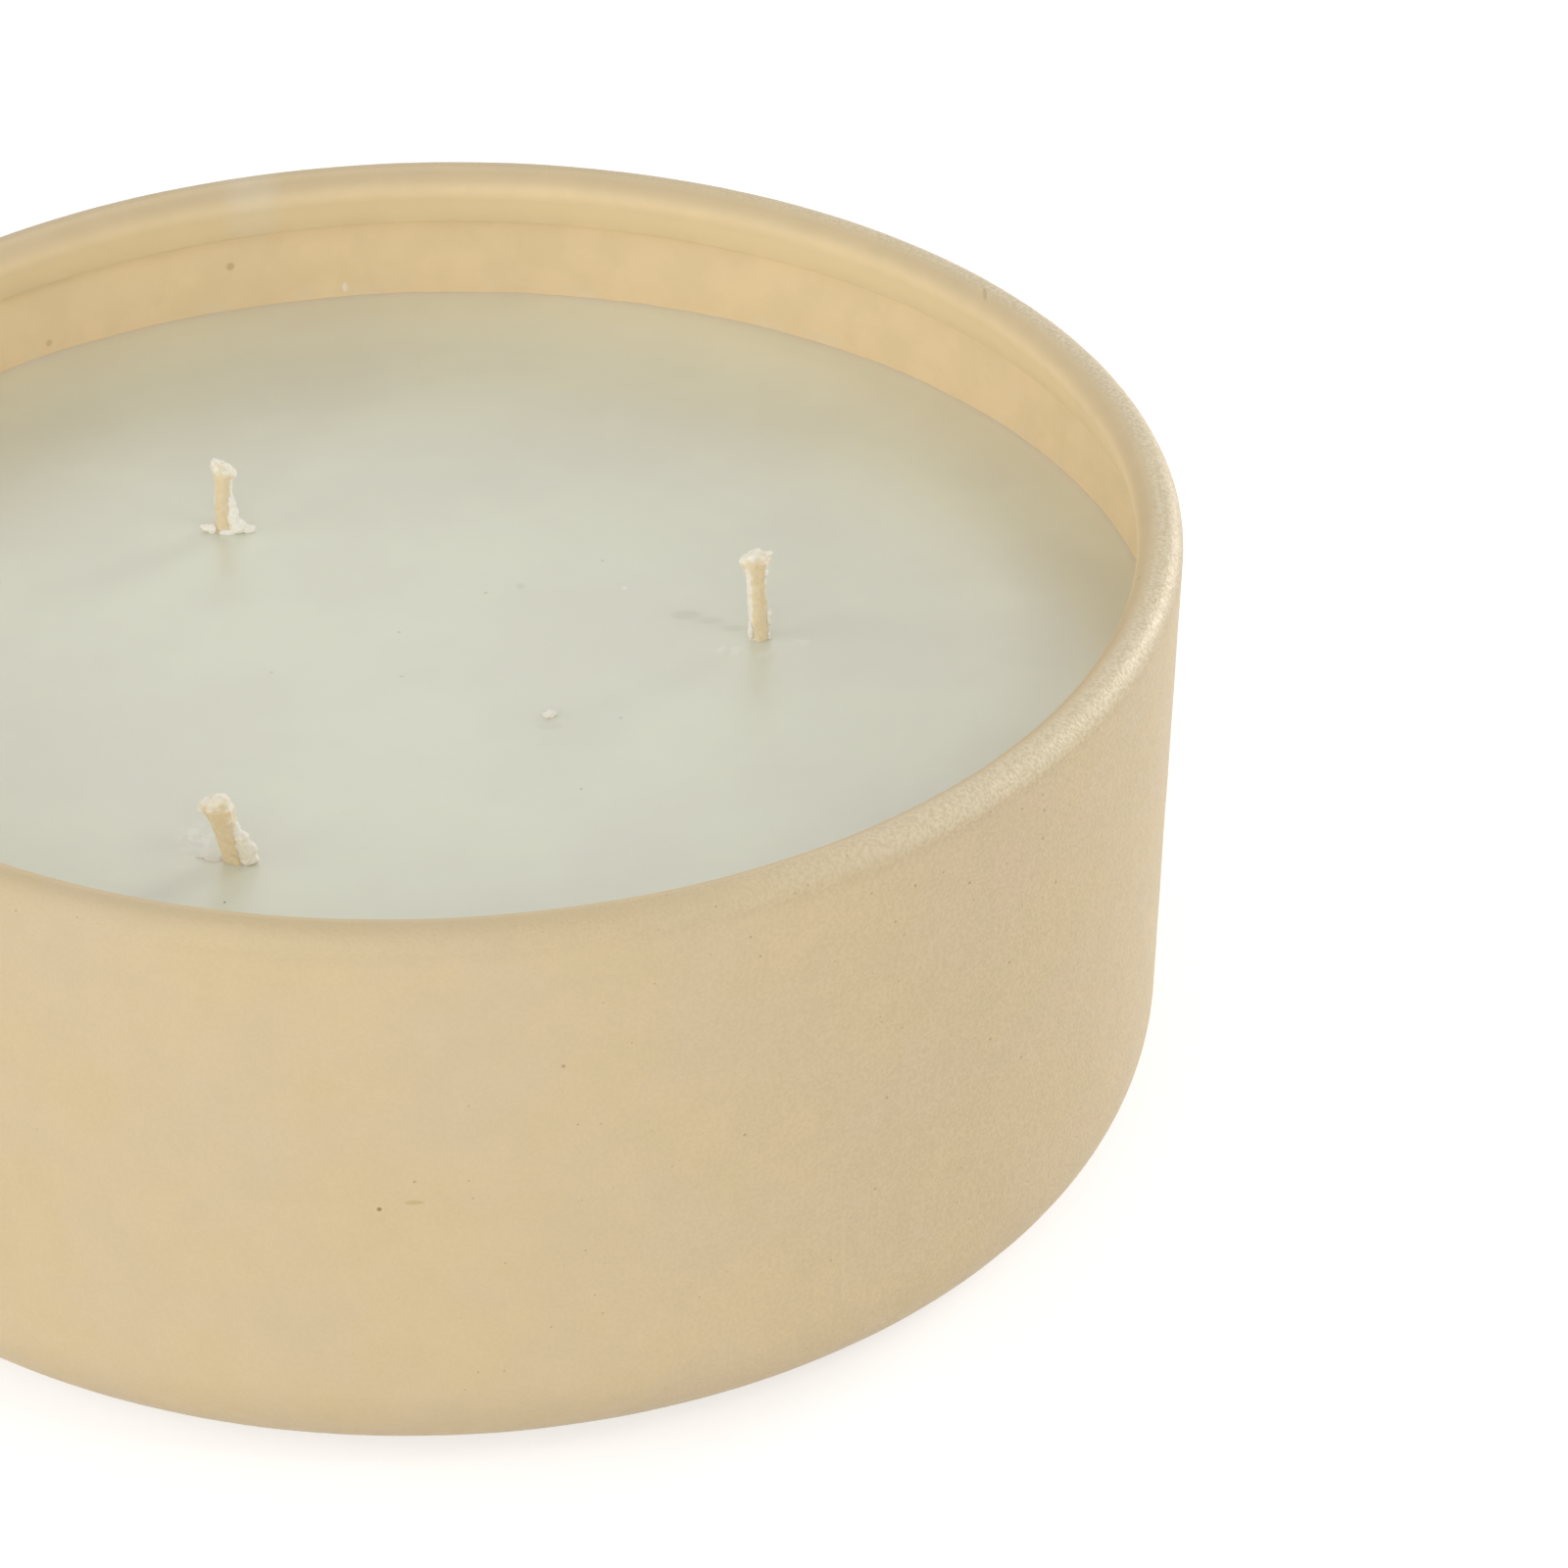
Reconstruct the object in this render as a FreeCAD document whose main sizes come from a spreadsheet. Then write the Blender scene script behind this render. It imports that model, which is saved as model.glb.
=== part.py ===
import FreeCAD, Part
import math
import os

import Sketcher

# A three-wick candle in a low, round metal bowl.
# Millimetres, +Z up, origin at the centre of the foot, on the surface that it stands on.
# The bowl is spun from one sheet, and its rim is rolled inward to a round bead.

doc = FreeCAD.newDocument("metal_container_candle")

# Driving sizes: name, value, meaning
SIZES = [
    ("rim_diameter", 150.0, "across the outside of the bead"),
    ("overall_height", 64.0, "floor to the top of the bead"),
    ("foot_diameter", 121.6, "flat foot, inside the corner curve"),
    ("corner_radius", 12.0, "outside curve from the foot to the side"),
    ("sheet_gauge", 1.5, "thickness of the bowl's sheet"),
    ("bead_width", 4.6, "thickness of the rolled rim"),
    ("hem_depth", 6.4, "top of the bead down to the rolled sheet's raw edge"),
    ("hem_gap", 0.2, "raw edge to the bowl's side"),
    ("wax_drop", 15.6, "top of the bead down to the wax"),
    ("wax_side_gap", 0.1, "wax to the bowl's side"),
    ("cavity_gap", 0.05, "wax to each wick, tab and pad"),
    ("wick_diameter", 2.3, "waxed cotton wick"),
    ("tab_diameter", 20.0, "stamped disc of the wick tab"),
    ("tab_gauge", 0.4, "thickness of the wick tab's sheet"),
    ("neck_height", 5.0, "wick tab, pad to the top of the neck"),
    ("neck_gap", 0.05, "wick to the neck of its tab"),
    ("neck_root_radius", 0.8, "curve between the tab's disc and neck"),
    ("pad_diameter", 18.0, "round adhesive pad"),
    ("pad_thickness", 0.8, "adhesive pad, bowl to tab"),
    ("back_left_x", -19.8, "wick place"),
    ("back_left_y", 25.2, "wick place"),
    ("back_left_rise", 8.2, "wick above the wax"),
    ("back_left_lean", 0.7, "sideways reach of the wick's end"),
    ("back_left_heading", 0.0, "direction of the lean, degrees from +X"),
    ("right_x", 33.3, "wick place"),
    ("right_y", 0.7, "wick place"),
    ("right_rise", 9.6, "wick above the wax"),
    ("right_lean", 0.3, "sideways reach of the wick's end"),
    ("right_heading", 180.0, "direction of the lean, degrees from +X"),
    ("front_left_x", -18.6, "wick place"),
    ("front_left_y", -36.5, "wick place"),
    ("front_left_rise", 7.2, "wick above the wax"),
    ("front_left_lean", 1.5, "sideways reach of the wick's end"),
    ("front_left_heading", 180.0, "direction of the lean, degrees from +X"),
]

WICKS = ("back_left", "right", "front_left")

# Ends of a sketch's lines and arcs, as its constraints number them
START, END, CENTRE = range(1, 4)

# The sketch's own X axis, Y axis and origin
X_AXIS, Y_AXIS = range(-1, -3, -1)
ORIGIN = (X_AXIS, START)

sheet = doc.addObject("Spreadsheet::Sheet", "sizes")
for row, (alias, value, meaning) in enumerate(SIZES, start=1):
    sheet.set("A%d" % row, alias)
    sheet.set("B%d" % row, str(value))
    sheet.set("C%d" % row, meaning)
    sheet.setAlias("B%d" % row, alias)
doc.recompute()


# Sketch helpers
def new_body(label):
    body = doc.addObject("PartDesign::Body", label)
    body.Label = label
    return body


def plane(body, role):
    return next(feature for feature in body.Origin.OriginFeatures if feature.Role == role)


def new_sketch(body, name, role, lift=None):
    """A sketch on one of the body's planes, raised along its normal by an expression."""
    sketch = body.newObject("Sketcher::SketchObject", name)
    sketch.AttachmentSupport = [(plane(body, role), "")]
    sketch.MapMode = "FlatFace"
    if lift:
        sketch.setExpression("AttachmentOffset.Base.z", lift)
    return sketch


def line(sketch, start, end):
    first = FreeCAD.Vector(start[0], start[1], 0)
    last = FreeCAD.Vector(end[0], end[1], 0)
    return sketch.addGeometry(Part.LineSegment(first, last), False)


def arc(sketch, centre, radius, start_angle, end_angle):
    circle = Part.Circle(FreeCAD.Vector(*centre, 0), FreeCAD.Vector(0, 0, 1), radius)
    return sketch.addGeometry(Part.ArcOfCircle(circle, start_angle, end_angle), False)


def full_circle(sketch, centre, radius, construction=False):
    circle = Part.Circle(FreeCAD.Vector(*centre, 0), FreeCAD.Vector(0, 0, 1), radius)
    return sketch.addGeometry(circle, construction)


def value_of(expression):
    """The present value of an expression over the sheet."""
    return float(sheet.evalExpression(expression.replace("sizes.", "")))


def hold(sketch, kind, *places):
    """A constraint with no size of its own."""
    sketch.addConstraint(Sketcher.Constraint(kind, *places))


def bind(sketch, expression, kind, *places):
    """A dimension that follows an expression over the sheet."""
    index = sketch.addConstraint(Sketcher.Constraint(kind, *places, value_of(expression)))
    sketch.setExpression("Constraints[%d]" % index, expression)


def revolve(body, sketch):
    """Turns a profile, drawn in the XZ plane, once around the upright axis."""
    feature = body.newObject("PartDesign::Revolution", sketch.Name + "_turned")
    feature.Profile = sketch
    feature.ReferenceAxis = (sketch, ["V_Axis"])
    feature.Angle = 360.0
    sketch.Visibility = False
    return feature


# Heights that several pieces share
FLOOR_TOP = "sizes.sheet_gauge"
PAD_TOP = "sizes.sheet_gauge + sizes.pad_thickness"
WAX_TOP = "sizes.overall_height - sizes.wax_drop"

# The inside corner and the inside of the bead, which set the slope of the side
CORNER_X = "sizes.foot_diameter / 2"
BEAD_X = "sizes.rim_diameter / 2 - sizes.bead_width / 2"
BEAD_Z = "sizes.overall_height - sizes.bead_width / 2"
INSIDE_CORNER = "sizes.corner_radius - sizes.sheet_gauge"
INSIDE_BEAD = "sizes.bead_width / 2 - sizes.sheet_gauge"


def side_slope():
    """The lean of the side from upright, as an angle: the outer tangent of both curves."""
    run = value_of(BEAD_X) - value_of(CORNER_X)
    rise = value_of(BEAD_Z) - value_of("sizes.corner_radius")
    spread = value_of("sizes.corner_radius") - value_of("sizes.bead_width / 2")
    return math.atan2(run, rise) - math.asin(spread / math.hypot(run, rise))


def on_arc(centre, radius, angle):
    return (centre[0] + radius * math.cos(angle), centre[1] + radius * math.sin(angle))


def build_vessel():
    """One sheet: flat foot, corner curve, side, bead, and the hem that the bead ends in."""
    body = new_body("vessel")
    sketch = new_sketch(body, "sheet_section", "XZ_Plane")
    gauge = value_of(FLOOR_TOP)
    corner = (value_of(CORNER_X), value_of("sizes.corner_radius"))
    bead = (value_of(BEAD_X), value_of(BEAD_Z))
    slope = side_slope()
    hem_slope = math.radians(15)
    radii = (value_of("sizes.corner_radius"), value_of("sizes.bead_width / 2"))
    hem_end = (bead[0] - radii[1], value_of("sizes.overall_height - sizes.hem_depth"))

    foot = line(sketch, (0, 0), (corner[0], 0))
    corner_out = arc(sketch, corner, radii[0], -math.pi / 2, -slope)
    side_out = line(sketch, on_arc(corner, radii[0], -slope), on_arc(bead, radii[1], -slope))
    bead_out = arc(sketch, bead, radii[1], -slope, math.pi + hem_slope)
    hem_in = line(sketch, on_arc(bead, radii[1], math.pi + hem_slope), hem_end)
    raw_edge = line(sketch, hem_end, (hem_end[0] + gauge, hem_end[1]))
    hem_out = line(
        sketch,
        (hem_end[0] + gauge, hem_end[1]),
        on_arc(bead, radii[1] - gauge, math.pi + hem_slope),
    )
    bead_in = arc(sketch, bead, radii[1] - gauge, -slope, math.pi + hem_slope)
    side_in = line(
        sketch,
        on_arc(bead, radii[1] - gauge, -slope),
        on_arc(corner, radii[0] - gauge, -slope),
    )
    corner_in = arc(sketch, corner, radii[0] - gauge, -math.pi / 2, -slope)
    floor = line(sketch, (corner[0], gauge), (0, gauge))
    middle = line(sketch, (0, gauge), (0, 0))

    hold(sketch, "Coincident", foot, START, *ORIGIN)
    hold(sketch, "Horizontal", foot)
    hold(sketch, "Tangent", foot, END, corner_out, START)
    hold(sketch, "Tangent", corner_out, END, side_out, START)
    hold(sketch, "Tangent", side_out, END, bead_out, START)
    hold(sketch, "Tangent", bead_out, END, hem_in, START)
    hold(sketch, "Coincident", hem_in, END, raw_edge, START)
    hold(sketch, "Perpendicular", hem_in, raw_edge)
    hold(sketch, "Coincident", raw_edge, END, hem_out, START)
    hold(sketch, "Parallel", hem_in, hem_out)
    hold(sketch, "Tangent", hem_out, END, bead_in, END)
    hold(sketch, "Tangent", bead_in, START, side_in, START)
    hold(sketch, "Tangent", side_in, END, corner_in, END)
    hold(sketch, "Tangent", corner_in, START, floor, START)
    hold(sketch, "Horizontal", floor)
    hold(sketch, "Coincident", floor, END, middle, START)
    hold(sketch, "Coincident", middle, END, foot, START)
    hold(sketch, "Vertical", middle)
    hold(sketch, "Coincident", corner_in, CENTRE, corner_out, CENTRE)
    hold(sketch, "Coincident", bead_in, CENTRE, bead_out, CENTRE)
    bind(sketch, CORNER_X, "DistanceX", *ORIGIN, corner_out, CENTRE)
    bind(sketch, "sizes.corner_radius", "Radius", corner_out)
    bind(sketch, INSIDE_CORNER, "Radius", corner_in)
    bind(sketch, BEAD_X, "DistanceX", *ORIGIN, bead_out, CENTRE)
    bind(sketch, BEAD_Z, "DistanceY", *ORIGIN, bead_out, CENTRE)
    bind(sketch, "sizes.bead_width / 2", "Radius", bead_out)
    bind(sketch, INSIDE_BEAD, "Radius", bead_in)
    bind(sketch, "sizes.overall_height - sizes.hem_depth", "DistanceY", *ORIGIN, raw_edge, START)
    bind(sketch, "sizes.hem_gap", "Distance", raw_edge, END, side_in)
    revolve(body, sketch)
    return body


def pocket_circles(body, name, lift, depth, diameter):
    """Cuts one round hole upward at each wick's place, from a height over a depth."""
    sketch = new_sketch(body, name, "XY_Plane", lift)
    for wick in WICKS:
        place = (value_of("sizes.%s_x" % wick), value_of("sizes.%s_y" % wick))
        circle = full_circle(sketch, place, value_of(diameter) / 2)
        bind(sketch, "sizes.%s_x" % wick, "DistanceX", *ORIGIN, circle, CENTRE)
        bind(sketch, "sizes.%s_y" % wick, "DistanceY", *ORIGIN, circle, CENTRE)
        bind(sketch, diameter, "Diameter", circle)
    doc.recompute()
    before = body.Shape.Volume
    pocket = body.newObject("PartDesign::Pocket", name + "_cut")
    pocket.Profile = sketch
    pocket.Type = "Length"
    pocket.Reversed = True
    pocket.setExpression("Length", depth)
    sketch.Visibility = False
    doc.recompute()
    if body.Shape.Volume >= before:
        raise ValueError(name + " cuts nothing")


def build_wax():
    """The poured wax: the bowl's inside up to the wax line, less what stands in it."""
    body = new_body("wax_fill")
    sketch = new_sketch(body, "wax_section", "XZ_Plane")
    side_gap = value_of("sizes.wax_side_gap")
    corner = (value_of(CORNER_X) - side_gap, value_of("sizes.corner_radius"))
    bead = (value_of(BEAD_X) - side_gap, value_of(BEAD_Z))
    slope = side_slope()
    inside = value_of(INSIDE_CORNER)
    wax_top = value_of(WAX_TOP)
    foot_of_side = on_arc(corner, inside, -slope)
    top_of_side = (foot_of_side[0] + (wax_top - foot_of_side[1]) * math.tan(slope), wax_top)

    bottom = line(sketch, (0, value_of(FLOOR_TOP)), (corner[0], value_of(FLOOR_TOP)))
    curve = arc(sketch, corner, inside, -math.pi / 2, -slope)
    side = line(sketch, foot_of_side, top_of_side)
    top = line(sketch, top_of_side, (0, wax_top))
    middle = line(sketch, (0, wax_top), (0, value_of(FLOOR_TOP)))
    bead_guide = full_circle(sketch, bead, value_of(INSIDE_BEAD), construction=True)

    hold(sketch, "Horizontal", bottom)
    hold(sketch, "Tangent", bottom, END, curve, START)
    hold(sketch, "Tangent", curve, END, side, START)
    hold(sketch, "Tangent", side, bead_guide)
    hold(sketch, "Coincident", side, END, top, START)
    hold(sketch, "Horizontal", top)
    hold(sketch, "Coincident", top, END, middle, START)
    hold(sketch, "Coincident", middle, END, bottom, START)
    hold(sketch, "PointOnObject", bottom, START, Y_AXIS)
    hold(sketch, "PointOnObject", middle, START, Y_AXIS)
    bind(sketch, CORNER_X + " - sizes.wax_side_gap", "DistanceX", *ORIGIN, curve, CENTRE)
    bind(sketch, "sizes.corner_radius", "DistanceY", *ORIGIN, curve, CENTRE)
    bind(sketch, INSIDE_CORNER, "Radius", curve)
    bind(sketch, BEAD_X + " - sizes.wax_side_gap", "DistanceX", *ORIGIN, bead_guide, CENTRE)
    bind(sketch, BEAD_Z, "DistanceY", *ORIGIN, bead_guide, CENTRE)
    bind(sketch, INSIDE_BEAD, "Radius", bead_guide)
    bind(sketch, WAX_TOP, "DistanceY", *ORIGIN, top, START)
    revolve(body, sketch)

    gaps = " + 2 * sizes.cavity_gap"
    bore = "sizes.wick_diameter" + gaps
    neck = "sizes.wick_diameter + 2 * sizes.neck_gap + 2 * sizes.tab_gauge"
    root = neck + " + 2 * sizes.neck_root_radius"
    pocket_circles(
        body, "pad_cavity", FLOOR_TOP, "sizes.pad_thickness", "sizes.pad_diameter" + gaps
    )
    pocket_circles(
        body,
        "tab_cavity",
        PAD_TOP,
        "sizes.tab_gauge + sizes.cavity_gap",
        "sizes.tab_diameter" + gaps,
    )
    pocket_circles(
        body,
        "root_cavity",
        PAD_TOP,
        "sizes.tab_gauge + sizes.neck_root_radius + sizes.cavity_gap",
        root + gaps,
    )
    pocket_circles(
        body, "neck_cavity", PAD_TOP, "sizes.neck_height + sizes.cavity_gap", neck + gaps
    )
    pocket_circles(body, "wick_cavity", PAD_TOP, WAX_TOP + " - " + FLOOR_TOP, bore)
    return body


def stand(body, wick, lift):
    """Places a piece at a wick's foot, at a height given by an expression."""
    body.setExpression("Placement.Base.x", "sizes.%s_x" % wick)
    body.setExpression("Placement.Base.y", "sizes.%s_y" % wick)
    body.setExpression("Placement.Base.z", lift)


def build_wick(wick):
    """A wick from the pad to its end: straight in the wax, then bent over by its lean."""
    body = new_body("wick_" + wick)
    section = new_sketch(body, "wick_section_" + wick, "XY_Plane")
    circle = full_circle(section, (0, 0), value_of("sizes.wick_diameter / 2"))
    hold(section, "Coincident", circle, CENTRE, *ORIGIN)
    bind(section, "sizes.wick_diameter", "Diameter", circle)

    route = new_sketch(body, "wick_route_" + wick, "XZ_Plane")
    buried = "(%s) - (%s)" % (WAX_TOP, PAD_TOP)
    lean = value_of("sizes.%s_lean" % wick)
    rise = value_of("sizes.%s_rise" % wick)
    bend_radius = (lean * lean + rise * rise) / (2 * lean)
    bend_angle = math.atan2(rise, bend_radius - lean)
    depth = value_of(buried)
    straight = line(route, (0, 0), (0, depth))
    bend = arc(route, (bend_radius, depth), bend_radius, math.pi - bend_angle, math.pi)
    hold(route, "Coincident", straight, START, *ORIGIN)
    hold(route, "Vertical", straight)
    bind(route, buried, "DistanceY", straight, START, straight, END)
    hold(route, "Tangent", straight, END, bend, END)
    bind(route, "sizes.%s_lean" % wick, "DistanceX", straight, END, bend, START)
    bind(route, "sizes.%s_rise" % wick, "DistanceY", straight, END, bend, START)
    doc.recompute()

    pipe = body.newObject("PartDesign::AdditivePipe", "wick_swept_" + wick)
    pipe.Profile = section
    pipe.Spine = (route, ["Edge1", "Edge2"])
    section.Visibility = False
    route.Visibility = False

    stand(body, wick, PAD_TOP)
    body.setExpression("Placement.Rotation.Axis.z", "1")
    body.setExpression("Placement.Rotation.Angle", "sizes.%s_heading" % wick)
    return body


def build_tab(wick):
    """The wick's stamped tab: a disc, a rounded root and a neck around the wick."""
    body = new_body("wick_tab_" + wick)
    sketch = new_sketch(body, "tab_section_" + wick, "XZ_Plane")
    hole = "sizes.wick_diameter / 2 + sizes.neck_gap"
    neck = hole + " + sizes.tab_gauge"
    hole_x = value_of(hole)
    neck_x = value_of(neck)
    rim_x = value_of("sizes.tab_diameter / 2")
    gauge = value_of("sizes.tab_gauge")
    root = value_of("sizes.neck_root_radius")
    top_z = value_of("sizes.neck_height")

    under = line(sketch, (hole_x, 0), (rim_x, 0))
    rim = line(sketch, (rim_x, 0), (rim_x, gauge))
    disc_top = line(sketch, (rim_x, gauge), (neck_x + root, gauge))
    curve = arc(sketch, (neck_x + root, gauge + root), root, math.pi, 3 * math.pi / 2)
    neck_side = line(sketch, (neck_x, gauge + root), (neck_x, top_z))
    neck_top = line(sketch, (neck_x, top_z), (hole_x, top_z))
    inner = line(sketch, (hole_x, top_z), (hole_x, 0))

    hold(sketch, "Horizontal", under)
    hold(sketch, "PointOnObject", under, START, X_AXIS)
    hold(sketch, "Coincident", under, END, rim, START)
    hold(sketch, "Vertical", rim)
    hold(sketch, "Coincident", rim, END, disc_top, START)
    hold(sketch, "Horizontal", disc_top)
    hold(sketch, "Tangent", disc_top, END, curve, END)
    hold(sketch, "Tangent", curve, START, neck_side, START)
    hold(sketch, "Vertical", neck_side)
    hold(sketch, "Coincident", neck_side, END, neck_top, START)
    hold(sketch, "Horizontal", neck_top)
    hold(sketch, "Coincident", neck_top, END, inner, START)
    hold(sketch, "Coincident", inner, END, under, START)
    hold(sketch, "Vertical", inner)
    bind(sketch, hole, "DistanceX", *ORIGIN, under, START)
    bind(sketch, "sizes.tab_diameter / 2", "DistanceX", *ORIGIN, under, END)
    bind(sketch, "sizes.tab_gauge", "DistanceY", rim, START, rim, END)
    bind(sketch, neck, "DistanceX", *ORIGIN, neck_side, START)
    bind(sketch, "sizes.neck_root_radius", "Radius", curve)
    bind(sketch, "sizes.neck_height", "DistanceY", *ORIGIN, neck_side, END)
    revolve(body, sketch)
    stand(body, wick, PAD_TOP)
    return body


def build_pad(wick):
    """The adhesive disc that holds a tab to the bowl's floor."""
    body = new_body("wick_pad_" + wick)
    sketch = new_sketch(body, "pad_outline_" + wick, "XY_Plane")
    circle = full_circle(sketch, (0, 0), value_of("sizes.pad_diameter / 2"))
    hold(sketch, "Coincident", circle, CENTRE, *ORIGIN)
    bind(sketch, "sizes.pad_diameter", "Diameter", circle)
    disc = body.newObject("PartDesign::Pad", "pad_disc_" + wick)
    disc.Profile = sketch
    disc.setExpression("Length", "sizes.pad_thickness")
    sketch.Visibility = False
    stand(body, wick, FLOOR_TOP)
    return body


def write_parts(bodies):
    """Stops at any failed object or broken solid, then writes one file for each piece."""
    doc.recompute()
    for feature in doc.Objects:
        if "Invalid" in feature.State or "Error" in feature.State:
            raise ValueError("%s failed: %s" % (feature.Label, feature.State))
    for body in bodies:
        if body.Shape.isNull() or not body.Shape.isValid() or len(body.Shape.Solids) != 1:
            raise ValueError(body.Label + " is not one valid solid")
    os.makedirs("parts", exist_ok=True)
    for body in bodies:
        body.Shape.exportStep("parts/%s.step" % body.Label)


bodies = [build_vessel(), build_wax()]
for wick in WICKS:
    bodies.append(build_wick(wick))
    bodies.append(build_tab(wick))
    bodies.append(build_pad(wick))
write_parts(bodies)
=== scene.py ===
import math

import bpy
from mathutils import Matrix, Vector


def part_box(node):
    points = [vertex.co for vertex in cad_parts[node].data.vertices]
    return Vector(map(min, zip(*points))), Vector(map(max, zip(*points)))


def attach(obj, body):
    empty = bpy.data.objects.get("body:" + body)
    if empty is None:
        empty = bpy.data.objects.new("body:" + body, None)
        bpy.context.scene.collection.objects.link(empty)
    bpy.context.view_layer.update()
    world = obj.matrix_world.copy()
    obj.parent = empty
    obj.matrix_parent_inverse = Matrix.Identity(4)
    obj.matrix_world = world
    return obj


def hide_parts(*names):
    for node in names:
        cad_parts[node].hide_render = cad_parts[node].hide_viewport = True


# A three-wick candle poured in a low, round, painted metal bowl.
# Metres, in the frame of the solids: +Z up, the foot on the floor at the origin.

bl_info = {
    "name": "Three-Wick Bowl Candle",
    "version": (1, 0, 0),
    "blender": (4, 5, 0),
    "location": "3D View > Sidebar > Candle",
    "description": "Bowl, wax, wicks and studio of a candle in a painted metal bowl",
    "category": "Add Mesh",
}

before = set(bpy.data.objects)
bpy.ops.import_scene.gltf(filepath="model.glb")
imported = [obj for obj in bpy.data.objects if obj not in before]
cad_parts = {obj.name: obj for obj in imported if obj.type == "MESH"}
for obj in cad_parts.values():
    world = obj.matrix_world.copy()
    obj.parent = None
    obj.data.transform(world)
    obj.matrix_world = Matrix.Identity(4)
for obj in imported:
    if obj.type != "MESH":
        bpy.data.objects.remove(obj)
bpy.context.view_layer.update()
BODY = "root"
MM = 0.001
WHITE = (1.0, 1.0, 1.0, 1.0)
FLOAT = "NodeSocketFloat"
VECTOR = "NodeSocketVector"
COLOUR = "NodeSocketColor"

BOWL_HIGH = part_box("vessel")[1]
WAX_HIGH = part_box("wax_fill")[1]


def middle(node):
    """Middle of a solid's box."""
    low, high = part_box(node)
    return (low + high) / 2


# Each wick over the wax, in millimetres from its foot on the wax's surface.
# lean: sideways reach of its axis at the top. stem: height at which the twisted yarns end.
# width: its thickness, as a share of the yarns' own sizes. flare: how far the end opens in X
# and in Y. A blob is its centre and its three half sizes: tip blobs are loose cotton at the cut,
# pale blobs whiten the cotton along the wick's sides without thickening it, partly white cotton
# and partly painted sheen on its edges, wax blobs cling to the wick.
WICKS = {
    "back_left": {
        "lean": (0.2, 0.0),
        "stem": 7.0,
        "width": 0.93,
        "flare": (1.15, 1.0),
        "tip": (
            ((-0.62, 0.0, 7.95), (0.42, 0.6, 0.36)),
            ((-0.5, 0.0, 7.35), (0.6, 0.8, 0.6)),
            ((-0.15, 0.0, 7.5), (0.78, 0.85, 0.56)),
            ((0.5, 0.0, 7.05), (0.8, 0.85, 0.52)),
            ((1.1, 0.0, 6.6), (0.5, 0.7, 0.52)),
        ),
        "pale": (((1.0, 0.0, 5.0), (0.3, 0.8, 2.0)), ((-1.05, 0.0, 4.2), (0.25, 0.8, 1.4))),
        "wax": (
            ((0.85, -0.5, 3.2), (0.42, 0.45, 1.1)),
            ((1.0, -0.65, 1.9), (0.66, 0.6, 1.2)),
            ((1.45, -0.6, 0.7), (0.9, 0.75, 0.75)),
            ((2.35, -0.4, 0.25), (0.8, 0.6, 0.42)),
            ((2.95, -0.35, 0.35), (0.4, 0.35, 0.25)),
            ((-1.15, -0.35, 0.35), (0.5, 0.5, 0.6)),
            ((-1.65, -0.25, 0.4), (0.5, 0.4, 0.34)),
            ((-2.15, -0.2, 0.55), (0.3, 0.3, 0.18)),
            ((0.4, -0.85, 0.1), (0.9, 0.4, 0.4)),
        ),
    },
    "right": {
        "lean": (-0.35, 0.0),
        "stem": 9.0,
        "width": 0.98,
        "flare": (1.65, 1.15),
        "tip": (
            ((-1.15, 0.0, 9.05), (0.7, 0.7, 0.5)),
            ((-0.35, 0.0, 9.45), (0.8, 0.8, 0.55)),
            ((0.45, 0.0, 9.4), (0.75, 0.7, 0.45)),
            ((1.1, 0.05, 9.65), (0.45, 0.4, 0.24)),
            ((-0.1, 0.1, 9.95), (0.35, 0.35, 0.2)),
        ),
        "pale": (((-1.0, -0.2, 4.5), (0.35, 0.9, 5.0)), ((0.85, 0.0, 7.0), (0.25, 0.8, 2.4))),
        "wax": (
            ((0.68, -0.2, 7.5), (0.26, 0.35, 0.4)),
            ((0.98, -0.2, 2.9), (0.32, 0.35, 0.42)),
            ((0.92, -0.3, 2.1), (0.2, 0.35, 0.5)),
            ((0.95, -0.35, 0.4), (0.22, 0.4, 0.6)),
            ((-0.85, -0.4, 1.2), (0.3, 0.45, 1.3)),
        ),
    },
    "front_left": {
        "lean": (-1.6, 0.0),
        "stem": 6.0,
        "width": 1.25,
        "flare": (1.3, 1.1),
        "tip": (
            ((-2.3, 0.0, 6.35), (1.0, 0.9, 0.62)),
            ((-1.35, 0.0, 6.55), (1.1, 1.0, 0.7)),
            ((-0.7, 0.0, 6.2), (0.55, 0.8, 0.7)),
            ((-3.05, 0.0, 5.8), (0.45, 0.5, 0.38)),
        ),
        "pale": (((-0.5, -0.1, 5.0), (0.3, 0.8, 1.0)),),
        "wax": (
            ((0.1, -0.55, 3.5), (0.5, 0.55, 1.0)),
            ((0.6, -0.7, 2.4), (0.78, 0.7, 1.15)),
            ((1.05, -0.7, 1.35), (0.98, 0.8, 1.05)),
            ((1.25, -0.8, 0.45), (0.9, 0.75, 0.7)),
            ((-1.9, -0.1, 0.0), (1.2, 0.4, 0.18)),
            ((-3.3, 0.5, 0.0), (0.8, 0.3, 0.12)),
        ),
    },
}

# Where each wick stands, from the tab that holds it
FEET = {wick: middle("wick_tab_" + wick) for wick in WICKS}

# Rough places on the wax round each wick: centre and half sizes from the foot, millimetres
SMEARS = {
    "back_left": (((0.3, -0.3), (3.4, 2.2)),),
    "right": (((-2.9, -2.4), (2.4, 1.5)), ((0.6, -3.2), (1.7, 1.1)), ((4.1, -1.2), (1.2, 1.3))),
    "front_left": (((-3.8, 3.2), (2.6, 4.6)), ((0.3, -0.4), (2.6, 1.8))),
}

# The shape and the colours that several marks share
ROUND = (1.0, 1.0, 1.0)
PAINT_SPECK = (0.38, 0.28, 0.16, 1)
WAX_SPECK = (0.38, 0.38, 0.31, 1)

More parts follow.
